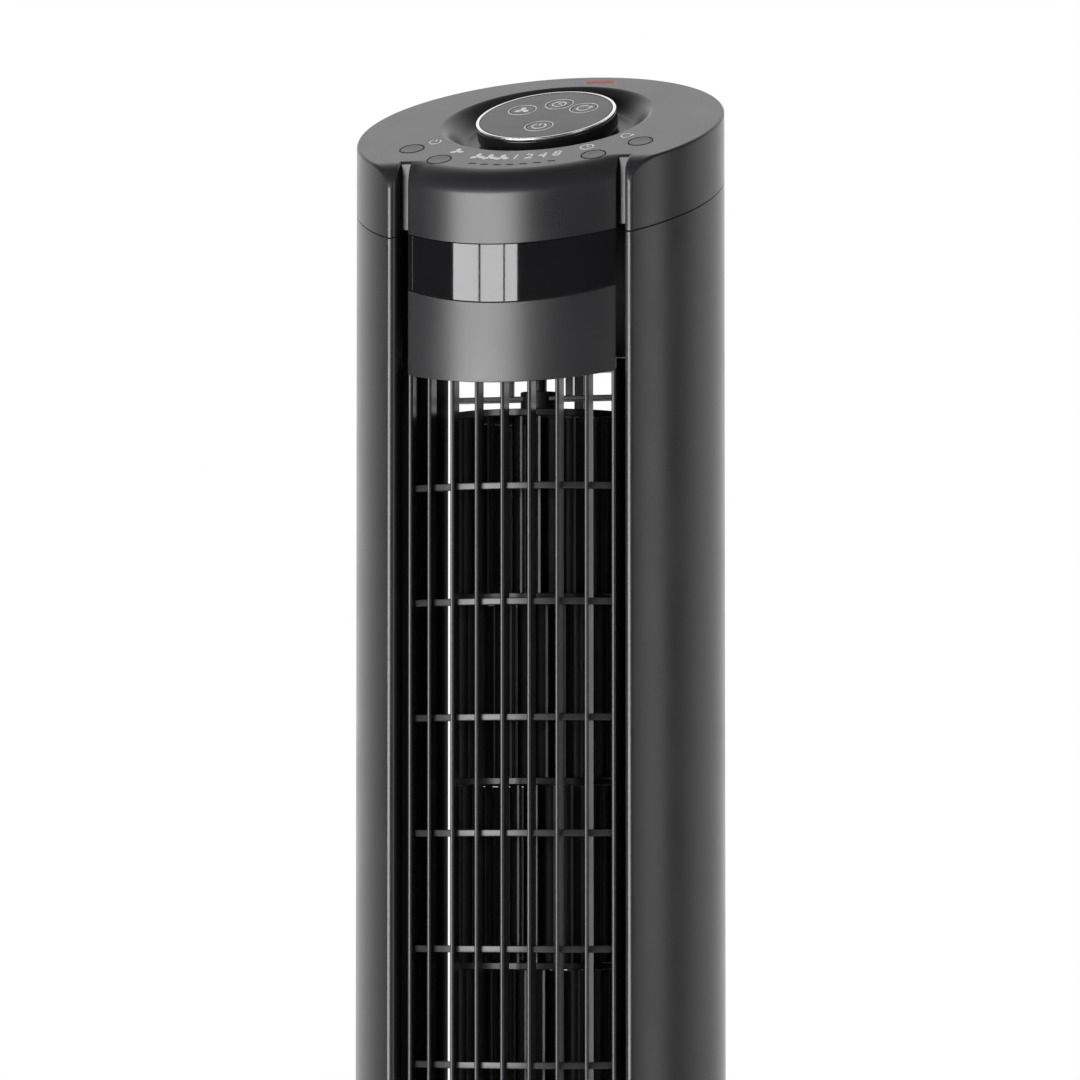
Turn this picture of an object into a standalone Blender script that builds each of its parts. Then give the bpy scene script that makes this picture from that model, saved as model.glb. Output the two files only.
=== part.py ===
"""Tower fan with a swinging tower, a cross-flow impeller and a remote control docked in its slanted top.

Metres, +Z up. The front faces -Y, and the tower swings about the Z axis.
"""

import math

import bmesh
import bpy
from mathutils import Matrix, Vector

# Fits
GAP = 0.0003  # between pieces that touch
SLIDE = 0.0003  # round a piece that slides or turns in a hole
WALL = 0.0025  # moulded plastic
FLOOR_FIT = 0.0019  # between the shells and the plates inside them

# Tower section, an oval with an inset front
HALF_WIDTH = 0.082
HALF_DEPTH = 0.060
WING_X = 0.0541  # where the side shells end at the front
WING_WALL = 0.0025
WING_RETURN = 0.0125  # how far a shell turns back inwards from its front edge
FRONT_RADIUS = 0.086
FRONT_Y = -0.055  # foremost line of the inset front
FRONT_HALF = 0.047
REAR_ANGLE = math.radians(130)  # from the front, where the rear grille starts

# Heights on the axis, and the slants of the cuts across the tower
HEIGHT = 0.7612
TOP_SLANT = math.radians(25.5)
WINDOW_SLANT = math.radians(28.8)
BAND_SLANT = math.radians(19.5)
CAP_DEPTH = 0.0296
WINDOW_DEPTH = 0.0211
BAND_DEPTH = 0.0452
GRILLE_Z = 0.198
TOP_Z = HEIGHT - HALF_DEPTH * math.tan(TOP_SLANT)
SEAM_Z = TOP_Z - CAP_DEPTH
WINDOW_Z = SEAM_Z - WINDOW_DEPTH
BAND_Z = WINDOW_Z - BAND_DEPTH

# Base
BASE_RADIUS = 0.120
BASE_RIM = 0.015
BASE_TOP = 0.036
BASE_PLATEAU = 0.056
FOOT_RADIUS = 0.009
FOOT_CIRCLE = 0.098
PLATE_Z = 0.003
PLATE = 0.0025
BALLAST = 0.005
BALLAST_RADIUS = 0.092
BALLAST_HOLE = 0.034
SCREW_CIRCLE = 0.104
SCREW_RADIUS = 0.0015
SCREW_HEAD = 0.0034
SCREW_LENGTH = 0.010
BOSS_RADIUS = 0.0036
GLAND_Z = 0.0098
GLAND_RADIUS = 0.0040
GLAND_LIP = 0.0014
GLAND_DEPTH = 0.0055
CORD_RADIUS = 0.0031

# Swing drive
HUB_RADIUS = 0.015
HUB_WALL = 0.0045
GLIDE = 0.0018
FOOT_FLOOR = 0.003
NECK_RADIUS = 0.050
NECK = 0.010
GEAR_TEETH = 40
PINION_TEETH = 10
MODULE = 0.0015
GEAR_WIDTH = 0.005
BACKLASH = 0.0005
PINION_SHAFT = 0.0025
SWING_CAN_RADIUS = 0.0175
SWING_CAN = 0.015
GLIDE_Z = BASE_TOP + GAP
NECK_Z = GLIDE_Z + GLIDE + GAP
FLOOR_Z = NECK_Z + NECK
TOWER_Z = FLOOR_Z + FOOT_FLOOR + GAP
GEAR_Z = TOWER_Z + 0.0012
GEAR_PITCH = MODULE * GEAR_TEETH / 2
PINION_PITCH = MODULE * PINION_TEETH / 2
PINION_Y = GEAR_PITCH + PINION_PITCH
BRACKET_Z = GEAR_Z + GEAR_WIDTH + 0.005
BRACKET = 0.002

# Impeller and the air duct round it
IMPELLER_RADIUS = 0.038
BLADE_INNER = 0.0285
BLADES = 30
BLADE_SHARE = 0.28  # of one blade pitch
BLADE_LEAN = math.radians(14)
SEGMENTS = 5
SEGMENT = 0.0794
DISC = 0.003
STAGGER = math.radians(5)
IMPELLER_TOP = 0.6069
SHAFT_RADIUS = 0.003
BUSH_RADIUS = 0.006
DUCT_WALL = 0.002
CEILING_Z = 0.6285
BULKHEAD_Z = 0.1935
BULKHEAD = 0.003
POST = 0.003
POST_X = 0.0135

# Motor under the impeller
MOTOR_RADIUS = 0.037
STATOR = 0.026
MOTOR_CUP = 0.0155

# Front grille
BARS = 7
BAR_PITCH = 0.0118
BAR_WIDTH = 0.0018
BAR_DEPTH = 0.009
RIBS = 8
RIB_TOP_Z = 0.573
RIB_PITCH = 0.0496
RIB = 0.003
FRAME_WIDTH = 0.0022
FRAME_DEPTH = 0.008

# Rear grille
SLAT_PITCH = 0.0087
SLAT = 0.0016
SLOTS = 48
SLOT_Z = 0.2160

# Top cap
CAP_WALL = 0.0027
CAP_FRONT_WALL = 0.0038
CAP_STEPS = 38
FRONT_ROUND = 0.0085
SIDE_ROUND = 0.0025
DISH_HALF_WIDTH = 0.0475
DISH_HALF_LENGTH = 0.042
DISH_CENTRE = 0.0114
DISH_DEPTH = 0.0078
DISH_SLOPE = 0.0105
DISH_STEPS = 30
BUTTON_RADIUS = 0.0052
BUTTON_PLACES = {
    "power_button": (-0.052, -0.0232),
    "mode_button": (-0.035, -0.0384),
    "timer_button": (0.035, -0.0384),
    "swing_button": (0.052, -0.0232),
}
BUTTON_TRAVEL = 0.001
LIGHTS = 7
LIGHT_PITCH = 0.00595
LIGHT_ARC = 9.4  # how fast the row of lights curves towards the rim, per metre
LIGHT_ROW = -0.048
BOARD_DEPTH = 0.012
BOARD = 0.0016

# Remote control
REMOTE_RADIUS = 0.031
REMOTE_CENTRE = 0.0105
REMOTE_SHELL = 0.0080
REMOTE_RING = 0.0014
REMOTE_HEIGHT = 0.0095
KEY_RADIUS = 0.0056
KEY_PLACES = {
    "remote_power_key": (0.0009, -0.0145),
    "remote_mode_key": (-0.0130, 0.0077),
    "remote_timer_key": (0.0022, 0.0140),
    "remote_swing_key": (0.0152, 0.0077),
}
KEY_TRAVEL = 0.0005
REMOTE_FLOOR = 0.0055
COVER_RADIUS = 0.0115
COVER = 0.0016
CELL_RADIUS = 0.0102

ROUND_STEPS = 32


# Materials


def material(name, colour, roughness, metallic=0.0):
    made = bpy.data.materials.new(name)
    made.use_nodes = True
    shader = made.node_tree.nodes["Principled BSDF"]
    shader.inputs["Base Color"].default_value = (*colour, 1.0)
    shader.inputs["Roughness"].default_value = roughness
    shader.inputs["Metallic"].default_value = metallic
    made.diffuse_color = (*colour, 1.0)
    return made


# Building blocks


def finish(name, bm, look, parent=None, smooth_angle=math.radians(35)):
    """Turns a bmesh into a named object with its material."""
    bmesh.ops.remove_doubles(bm, verts=bm.verts, dist=1e-7)
    bmesh.ops.recalc_face_normals(bm, faces=bm.faces)
    mesh = bpy.data.meshes.new(name)
    bm.to_mesh(mesh)
    bm.free()
    mesh.shade_smooth()
    mesh.set_sharp_from_angle(angle=smooth_angle)
    if look:
        mesh.materials.append(look)
    made = bpy.data.objects.new(name, mesh)
    bpy.context.scene.collection.objects.link(made)
    made.parent = parent
    return made


def empty(name, place, turn=(0.0, 0.0, 0.0), parent=None):
    made = bpy.data.objects.new(name, None)
    made.location = place
    made.rotation_euler = turn
    made.parent = parent
    bpy.context.scene.collection.objects.link(made)
    return made


def combine(target, tool, operation):
    """Cuts a hidden tool out of a piece, or joins it on."""
    modifier = target.modifiers.new(tool.name, "BOOLEAN")
    modifier.object = tool
    modifier.operation = operation
    tool.hide_render = True
    tool.display_type = "WIRE"
    return target


def height_at(level, y):
    return level(y) if callable(level) else level


def slanted(height, slant, above=0.0):
    """The height of a slanted plane as a function of y."""
    return lambda y: height + above + y * math.tan(slant)


def prism(name, outline, low, high, look, parent=None):
    """An upright solid over an outline. Its ends are level, or slanted by a function of y."""
    bm = bmesh.new()
    floor = [bm.verts.new((x, y, 0.0)) for x, y in outline]
    bm.faces.new(floor)
    made = bmesh.ops.extrude_face_region(bm, geom=bm.faces[:])
    for vert in made["geom"]:
        if isinstance(vert, bmesh.types.BMVert):
            vert.co.z = height_at(high, vert.co.y)
    for vert in floor:
        vert.co.z = height_at(low, vert.co.y)
    return finish(name, bm, look, parent)


def turned(name, profile, look, parent=None, centre=(0.0, 0.0), steps=ROUND_STEPS, closed=True):
    """Spins a profile of (radius, height) points round Z. An open profile starts and ends on the axis."""
    bm = bmesh.new()
    points = [bm.verts.new((radius, 0.0, height)) for radius, height in profile]
    ends = points[1:] + points[:1] if closed else points[1:]
    edges = [bm.edges.new(pair) for pair in zip(points, ends)]
    bmesh.ops.spin(
        bm, geom=edges, cent=(0, 0, 0), axis=(0, 0, 1), angle=math.tau, steps=steps, use_merge=True
    )
    bmesh.ops.remove_doubles(bm, verts=bm.verts, dist=1e-6)
    bmesh.ops.translate(bm, verts=bm.verts, vec=(*centre, 0.0))
    return finish(name, bm, look, parent)


def tube(name, inner, outer, low, high, look, parent=None, centre=(0.0, 0.0), steps=ROUND_STEPS):
    profile = ((inner, low), (outer, low), (outer, high), (inner, high))
    return turned(name, profile, look, parent, centre, steps)


def rod(name, radius, low, high, look, parent=None, centre=(0.0, 0.0), steps=24):
    profile = ((0.0, low), (radius, low), (radius, high), (0.0, high))
    return turned(name, profile, look, parent, centre, steps, closed=False)


def boxes(name, spans, look=None, parent=None):
    """One box or several separate ones in one mesh, each between two opposite corners."""
    bm = bmesh.new()
    for low, high in spans:
        size = Vector(high) - Vector(low)
        middle = (Vector(high) + Vector(low)) / 2
        place = Matrix.Translation(middle) @ Matrix.Diagonal((*size, 1.0))
        bmesh.ops.create_cube(bm, size=1.0, matrix=place)
    return finish(name, bm, look, parent)


# Outlines of the tower


def oval(angle, inset=0.0):
    """A point on the tower's oval. The angle runs from the front towards +X."""
    return (
        (HALF_WIDTH - inset) * math.sin(angle),
        -(HALF_DEPTH - inset) * math.cos(angle),
    )


def oval_angle(x, inset=0.0):
    return math.asin(x / (HALF_WIDTH - inset))


def oval_arc(start, end, steps, inset=0.0):
    return [oval(start + (end - start) * i / steps, inset) for i in range(steps + 1)]


def front_y(x, inset=0.0):
    centre = FRONT_Y + FRONT_RADIUS
    return centre - math.sqrt((FRONT_RADIUS - inset) ** 2 - x * x)


def front_arc(half, steps, inset=0.0):
    """Points on the inset front, from -X to +X."""
    xs = [half * (2 * i / steps - 1) for i in range(steps + 1)]
    return [(x, front_y(x, inset)) for x in xs]


def front_strip(half, near, far, steps=10):
    """The outline of a strip that follows the inset front, between two insets."""
    return front_arc(half, steps, near) + front_arc(half, steps, far)[::-1]


def floor_outline():
    """The inside of the tower: the oval, and in front the bay behind the inset front."""
    bay = FRONT_HALF - 0.003
    shoulder = oval(oval_angle(WING_X))[1] + WING_RETURN + 0.0015
    side = math.radians(60)
    rear = oval_arc(side, math.tau - side, 28, WALL + FLOOR_FIT)
    return rear + [(-bay, shoulder), *front_arc(bay, 8, WALL + 0.001), (bay, shoulder)]


def mirrored(outline):
    return [(-x, y) for x, y in reversed(outline)]


# Base


def dome_profile():
    """The base shell from its lower edge over the dome to the plateau, and back inside."""
    reach = BASE_RADIUS - BASE_PLATEAU
    rise = BASE_TOP - BASE_RIM
    turns = [math.radians(a) for a in (0, 25, 50, 70, 90)]
    outer = [(BASE_PLATEAU + reach * math.cos(a), BASE_RIM + rise * math.sin(a)) for a in turns]
    hole = HUB_RADIUS + SLIDE
    inner = [
        (BASE_PLATEAU + (reach - WALL) * math.cos(a), BASE_RIM + (rise - WALL) * math.sin(a))
        for a in reversed(turns)
    ]
    rim = [(BASE_RADIUS - 0.001, PLATE_Z), (BASE_RADIUS, PLATE_Z + 0.001)]
    bore = [(hole, BASE_TOP), (hole, BASE_TOP - WALL)]
    return rim + outer + bore + inner + [(BASE_RADIUS - WALL, PLATE_Z)]


def round_places(radius, count, first):
    turns = [first + math.tau * i / count for i in range(count)]
    return [(radius * math.cos(a), radius * math.sin(a)) for a in turns]


def build_base(looks):
    shell = turned("base_shell", dome_profile(), looks["shell"], steps=44)
    screws = round_places(SCREW_CIRCLE, 3, math.radians(30))
    plate_top = PLATE_Z + PLATE
    plate = rod("base_plate", BASE_RADIUS - WALL - GAP * 2, PLATE_Z, plate_top, looks["inside"], steps=48)
    combine(plate, rod("plate_hole", HUB_RADIUS, 0.0, 0.02, None), "DIFFERENCE")
    across = (SCREW_CIRCLE - BASE_PLATEAU) / (BASE_RADIUS - BASE_PLATEAU - WALL / 2)
    shell_at_boss = BASE_RIM + (BASE_TOP - BASE_RIM - WALL / 2) * math.sqrt(1 - across**2) - 0.0005
    for i, place in enumerate(screws, 1):
        boss = rod(f"boss_{i}", BOSS_RADIUS, plate_top + GAP, shell_at_boss, None, centre=place, steps=8)
        combine(shell, boss, "UNION")
    for i, place in enumerate(screws, 1):
        clearance = SCREW_RADIUS + SLIDE
        bore_top = PLATE_Z + SCREW_LENGTH + 0.0005
        bore = rod(f"screw_bore_{i}", clearance, -0.001, bore_top, None, centre=place, steps=8)
        combine(shell, bore, "DIFFERENCE")
        combine(plate, bore, "DIFFERENCE")
        head = PLATE_Z - GAP
        profile = (
            (0.0, head - 0.0014),
            (SCREW_HEAD, head - 0.0010),
            (SCREW_HEAD, head),
            (SCREW_RADIUS, head),
            (SCREW_RADIUS, PLATE_Z + SCREW_LENGTH),
            (0.0, PLATE_Z + SCREW_LENGTH),
        )
        turned(f"base_screw_{i}", profile, looks["steel"], centre=place, steps=12, closed=False)
    low = plate_top + GAP
    tube("ballast_plate", BALLAST_HOLE, BALLAST_RADIUS, low, low + BALLAST, looks["steel"], steps=40)
    for i, place in enumerate(round_places(FOOT_CIRCLE, 4, math.radians(45)), 1):
        profile = (
            (0.0, 0.0),
            (FOOT_RADIUS - 0.0006, 0.0),
            (FOOT_RADIUS, 0.0006),
            (FOOT_RADIUS, PLATE_Z - GAP),
            (0.0, PLATE_Z - GAP),
        )
        turned(f"foot_{i}", profile, looks["rubber"], centre=place, steps=20, closed=False)
    build_gland(shell, looks)
    build_hub(looks)


def build_gland(shell, looks):
    """A rubber gland in the back of the base, where a cord would leave."""
    seat = empty("gland_seat", (0.0, BASE_RADIUS, GLAND_Z), (math.radians(-90), 0.0, 0.0))
    bore = rod("gland_bore", GLAND_RADIUS + SLIDE, -0.01, 0.01, None, seat, steps=20)
    combine(shell, bore, "DIFFERENCE")
    lip = GLAND_RADIUS + GLAND_LIP
    recess = rod("gland_recess", lip + SLIDE, -0.0013, 0.01, None, seat, steps=20)
    combine(shell, recess, "DIFFERENCE")
    profile = (
        (CORD_RADIUS, -GLAND_DEPTH),
        (GLAND_RADIUS, -GLAND_DEPTH),
        (GLAND_RADIUS, -0.0010),
        (lip, -0.0010),
        (lip, -0.0002),
        (CORD_RADIUS, -0.0002),
    )
    turned("cord_gland", profile, looks["rubber"], seat, steps=20)


def build_hub(looks):
    """The fixed hollow hub that the tower turns on, with the gear and the collar round it."""
    bore = HUB_RADIUS - HUB_WALL
    flange_top = BASE_TOP - WALL - GAP
    collar_z = GEAR_Z + GEAR_WIDTH + GAP
    hub_top = collar_z + 0.004
    profile = (
        (bore, flange_top - WALL),
        (0.030, flange_top - WALL),
        (0.030, flange_top),
        (HUB_RADIUS, flange_top),
        (HUB_RADIUS, hub_top),
        (bore, hub_top),
    )
    turned("pivot_hub", profile, looks["inside"])
    tube("glide_ring", 0.026, NECK_RADIUS - 0.004, GLIDE_Z, GLIDE_Z + GLIDE, looks["nylon"])
    gear = gear_outline(GEAR_TEETH, 0.0, -BACKLASH)
    prism("swing_gear", gear, GEAR_Z, GEAR_Z + GEAR_WIDTH, looks["nylon"])
    hole = rod("gear_hole", HUB_RADIUS + SLIDE, 0.0, 0.1, None, steps=ROUND_STEPS)
    combine(bpy.data.objects["swing_gear"], hole, "DIFFERENCE")
    tube("hub_collar", HUB_RADIUS + SLIDE, 0.020, collar_z, hub_top, looks["steel"])


def gear_outline(teeth, first, thinning):
    """A spur gear's outline: four points to a tooth, its middle at the angle first."""
    pitch = MODULE * teeth / 2
    tip = pitch + MODULE * 0.9
    root = pitch - MODULE * 1.2
    quarter = math.tau / teeth / 4 + thinning / (4 * pitch)
    points = []
    for i in range(teeth):
        middle = first + math.tau * i / teeth
        for radius, turn in ((root, -1.45), (tip, -0.55), (tip, 0.55), (root, 1.45)):
            angle = middle + turn * quarter
            points.append((radius * math.cos(angle), radius * math.sin(angle)))
    return points


# Tower shells


def shell_outline():
    """The section of the right-hand side shell, with the return behind its front edge."""
    start = oval_angle(WING_X)
    edge = oval(start)
    inner_start = oval_angle(WING_X, WALL)
    inside_x = WING_X - WING_WALL
    outer = oval_arc(start, REAR_ANGLE, 18)
    inner = oval_arc(REAR_ANGLE, inner_start, 18, WALL)
    back_y = edge[1] + WING_RETURN
    lip = [
        (WING_X, back_y),
        (inside_x, back_y),
        (inside_x, edge[1] + 0.0012),
        (inside_x + 0.0007, edge[1] + 0.0002),
        (inside_x + 0.0016, edge[1] - 0.0002),
    ]
    return outer + inner + lip


def rear_grille(looks):
    """The curved back: rows of open slots in two columns, made cell by cell."""
    start = REAR_ANGLE + GAP / HALF_DEPTH
    end = math.tau - start
    post = math.radians(1.6)
    span = (end - start - 3 * post) / 4
    turns = [start]
    open_cells = []
    for _ in range(2):
        turns.append(turns[-1] + post)
        open_cells.append(False)
        for _ in range(2):
            turns.append(turns[-1] + span)
            open_cells.append(True)
    turns.append(end)
    open_cells.append(False)
    levels = [TOWER_Z]
    for i in range(SLOTS):
        levels += [SLOT_Z + i * SLAT_PITCH, SLOT_Z + (i + 1) * SLAT_PITCH - SLAT]
    rows = len(levels)
    bm = bmesh.new()
    grid = []
    for inset in (0.0, WALL):
        layer = []
        for turn in turns:
            x, y = oval(turn, inset)
            top = slanted(SEAM_Z, TOP_SLANT, -GAP)(y)
            layer.append([bm.verts.new((x, y, z)) for z in [*levels, top]])
        grid.append(layer)
    outside, inside = grid
    columns = len(open_cells)

    def solid(column, row):
        inside_grid = 0 <= column < columns and 0 <= row < rows
        return inside_grid and not (open_cells[column] and row % 2 == 1)

    for column in range(columns):
        for row in range(rows):
            if not solid(column, row):
                continue
            corners = ((column, row), (column + 1, row), (column + 1, row + 1), (column, row + 1))
            bm.faces.new([outside[c][r] for c, r in corners])
            bm.faces.new([inside[c][r] for c, r in reversed(corners)])
            beside = ((column, row - 1), (column + 1, row), (column, row + 1), (column - 1, row))
            for side, neighbour in enumerate(beside):
                if solid(*neighbour):
                    continue
                (c1, r1), (c2, r2) = corners[side], corners[(side + 1) % 4]
                bm.faces.new((outside[c2][r2], outside[c1][r1], inside[c1][r1], inside[c2][r2]))
    return finish("rear_grille", bm, looks["inside"])


def build_shells(looks):
    top = slanted(SEAM_Z, TOP_SLANT, -GAP)
    outline = shell_outline()
    prism("side_shell_right", outline, TOWER_Z, top, looks["shell"])
    prism("side_shell_left", mirrored(outline), TOWER_Z, top, looks["shell"])
    rear = rear_grille(looks)
    for i, z in enumerate((0.085, 0.175), 1):
        seat = empty(f"rear_screw_seat_{i}", (0.0, HALF_DEPTH, z), (math.radians(-90), 0.0, 0.0))
        bore = rod(f"rear_screw_bore_{i}", SCREW_RADIUS + SLIDE, -0.02, 0.02, None, seat, steps=12)
        combine(rear, bore, "DIFFERENCE")
        profile = (
            (0.0, -SCREW_LENGTH),
            (SCREW_RADIUS, -SCREW_LENGTH),
            (SCREW_RADIUS, 0.0004),
            (SCREW_HEAD, 0.0004),
            (SCREW_HEAD, 0.0016),
            (0.0, 0.0020),
        )
        turned(f"rear_screw_{i}", profile, looks["steel"], seat, steps=12, closed=False)


def front_grille(looks):
    """The front moulding: the matt band, seven upright bars, level ribs behind them and a frame."""
    band_low = slanted(BAND_Z, BAND_SLANT)
    band_high = slanted(WINDOW_Z, WINDOW_SLANT, -GAP)
    grille = prism("front_grille", front_strip(FRONT_HALF, 0.0, WALL), band_low, band_high, looks["grille"])
    bars = bmesh.new()
    side = FRONT_HALF - FRAME_WIDTH / 2
    xs = [(i - (BARS - 1) / 2) * BAR_PITCH for i in range(BARS)]
    places = [(x, BAR_WIDTH, BAR_DEPTH) for x in xs]
    places += [(x, FRAME_WIDTH, FRAME_DEPTH) for x in (-side, side)]
    for x, width, depth in places:
        outline = [(x - width / 2, front_y(abs(x) + width / 2) + depth)]
        outline += [(x + width / 2, outline[0][1])]
        outline += [(x + width / 2, front_y(x + width / 2)), (x - width / 2, front_y(x - width / 2))]
        bars.faces.new([bars.verts.new((px, py, GRILLE_Z)) for px, py in outline])
    made = bmesh.ops.extrude_face_region(bars, geom=bars.faces[:])
    for vert in made["geom"]:
        if isinstance(vert, bmesh.types.BMVert):
            vert.co.z = band_low(vert.co.y) + 0.004
    combine(grille, finish("grille_bars", bars, None), "UNION")
    ribs = bmesh.new()
    strips = [(RIB_TOP_Z - i * RIB_PITCH, RIB, 0.0035, 0.0075) for i in range(RIBS)]
    strips.append((GRILLE_Z + 0.004, 0.008, 0.0004, 0.0046))
    for z, tall, near, far in strips:
        outline = front_strip(FRONT_HALF - 0.0004, near, far, 6)
        floor = [ribs.verts.new((px, py, z - tall / 2)) for px, py in outline]
        made = bmesh.ops.extrude_face_region(ribs, geom=[ribs.faces.new(floor)])
        for vert in made["geom"]:
            if isinstance(vert, bmesh.types.BMVert):
                vert.co.z = z + tall / 2
    return combine(grille, finish("grille_ribs", ribs, None), "UNION")


def build_front(looks):
    front_grille(looks)
    low = slanted(WINDOW_Z, WINDOW_SLANT)
    high = slanted(SEAM_Z, TOP_SLANT, -GAP)
    prism("display_window", front_strip(FRONT_HALF, 0.0, WALL), low, high, looks["window"])
    panel = front_strip(FRONT_HALF, 0.0, WALL)
    prism("lower_front_panel", panel, TOWER_Z, GRILLE_Z - GAP, looks["grille"])


def tower_foot(looks):
    """The tower's lower end: a round neck over the base and an oval floor, bored for the hub."""
    outline = oval_arc(0.0, math.tau * 71 / 72, 71, 0.0006)
    foot = prism("tower_foot", outline, FLOOR_Z, FLOOR_Z + FOOT_FLOOR, looks["shell"])
    neck = rod("foot_neck", NECK_RADIUS, NECK_Z, FLOOR_Z + 0.001, None, steps=48)
    combine(foot, neck, "UNION")
    bore = rod("foot_bore", HUB_RADIUS + SLIDE, 0.0, 0.1, None, steps=ROUND_STEPS)
    return combine(foot, bore, "DIFFERENCE")


# Impeller, duct and motor


def impeller_segment(number, look, parent):
    """A ring disc with leaning blades on top, made sector by sector."""
    low = IMPELLER_TOP - DISC - number * SEGMENT
    middle = low + DISC
    high = low + SEGMENT - GAP
    pitch = math.tau / BLADES
    bm = bmesh.new()

    def ring(radius, z, lean):
        starts = [i * pitch + share * pitch for i in range(BLADES) for share in (0.0, BLADE_SHARE)]
        turns = [start + number * STAGGER + lean for start in starts]
        return [bm.verts.new((radius * math.cos(a), radius * math.sin(a), z)) for a in turns]

    root_low = ring(BLADE_INNER, low, 0.0)
    root = ring(BLADE_INNER, middle, 0.0)
    rim = ring(IMPELLER_RADIUS, middle, BLADE_LEAN)
    rim_low = ring(IMPELLER_RADIUS, low, BLADE_LEAN)
    root_high = ring(BLADE_INNER, high, 0.0)
    rim_high = ring(IMPELLER_RADIUS, high, BLADE_LEAN)
    count = 2 * BLADES
    for i in range(count):
        j = (i + 1) % count
        bm.faces.new((root_low[i], root_low[j], rim_low[j], rim_low[i]))
        bm.faces.new((root_low[j], root_low[i], root[i], root[j]))
        bm.faces.new((rim_low[i], rim_low[j], rim[j], rim[i]))
        if i % 2:
            bm.faces.new((root[i], root[j], rim[j], rim[i]))
            continue
        bm.faces.new((root_high[i], root_high[j], rim_high[j], rim_high[i]))
        bm.faces.new((root[i], root[j], root_high[j], root_high[i]))
        bm.faces.new((rim[i], rim[j], rim_high[j], rim_high[i]))
        bm.faces.new((root[i], rim[i], rim_high[i], root_high[i]))
        bm.faces.new((root[j], rim[j], rim_high[j], root_high[j]))
    return finish(f"impeller_segment_{number}", bm, look, parent)


def build_impeller(looks):
    axis = empty("impeller_axis", (0.0, 0.0, 0.0))
    for number in range(1, SEGMENTS + 1):
        impeller_segment(number, looks["impeller"], axis)
    stub_top = CEILING_Z - 0.006
    top = (
        (0.0, IMPELLER_TOP - DISC),
        (IMPELLER_RADIUS, IMPELLER_TOP - DISC),
        (IMPELLER_RADIUS, IMPELLER_TOP),
        (0.006, IMPELLER_TOP),
        (SHAFT_RADIUS, IMPELLER_TOP + 0.0012),
        (SHAFT_RADIUS, stub_top),
        (0.0, stub_top),
    )
    turned("impeller_top_disc", top, looks["impeller"], axis, closed=False, steps=36)
    last = IMPELLER_TOP - DISC - SEGMENTS * SEGMENT
    hub_bore = SHAFT_RADIUS + SLIDE
    hub = (
        (hub_bore, last - GAP - 0.008),
        (0.009, last - GAP - 0.008),
        (0.009, last - GAP - DISC),
        (0.034, last - GAP - DISC),
        (0.034, last - GAP),
        (hub_bore, last - GAP),
    )
    turned("impeller_hub", hub, looks["rubber"], axis, steps=24)
    shaft_low = BULKHEAD_Z - GAP - MOTOR_CUP - STATOR - MOTOR_CUP + 0.004
    rod("motor_shaft", SHAFT_RADIUS, shaft_low, last - GAP - 0.0005, looks["steel"], axis, steps=16)


def duct_outline(points):
    """A thin wall along a smooth line through a few points."""
    line = smooth_line(points, 4)
    sides = ([], [])
    for i, point in enumerate(line):
        ahead = line[min(i + 1, len(line) - 1)]
        behind = line[max(i - 1, 0)]
        run = (ahead - behind).normalized()
        across = Vector((-run.y, run.x)) * DUCT_WALL / 2
        sides[0].append(tuple(point + across))
        sides[1].append(tuple(point - across))
    return sides[0] + sides[1][::-1]


def smooth_line(points, steps):
    """A Catmull-Rom curve through the points."""
    fixed = [Vector(p) for p in points]
    fixed = [fixed[0] * 2 - fixed[1], *fixed, fixed[-1] * 2 - fixed[-2]]
    line = []
    for a, b, c, d in zip(fixed, fixed[1:], fixed[2:], fixed[3:]):
        bend = 2 * a - 5 * b + 4 * c - d
        twist = 3 * b - a - 3 * c + d
        for t in (i / steps for i in range(steps)):
            line.append(b + ((c - a) * t + bend * t**2 + twist * t**3) / 2)
    return [*line, fixed[-2]]


def build_duct(looks):
    low = BULKHEAD_Z + BULKHEAD + GAP
    high = CEILING_Z - GAP
    mouth = FRONT_HALF - 0.002
    near = IMPELLER_RADIUS + 0.0035
    left = [(-mouth, -0.032), (-near - 0.001, -0.020), (-near, -0.008), (-near - 0.005, 0.010)]
    left.append((-0.056, 0.032))
    right = [(mouth, -0.032), (0.050, -0.020), (0.055, -0.002), (0.058, 0.016), (0.058, 0.032)]
    prism("duct_wall_left", duct_outline(left), low, high, looks["inside"])
    prism("duct_wall_right", duct_outline(right), low, high, looks["inside"])
    prism("duct_ceiling", floor_outline(), CEILING_Z, CEILING_Z + 0.002, looks["inside"])
    bulkhead = prism(
        "motor_bulkhead", floor_outline(), BULKHEAD_Z, BULKHEAD_Z + BULKHEAD, looks["inside"]
    )
    combine(bulkhead, rod("shaft_way", 0.011, BULKHEAD_Z - 0.01, BULKHEAD_Z + 0.01, None), "DIFFERENCE")
    build_bearing(looks)


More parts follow.
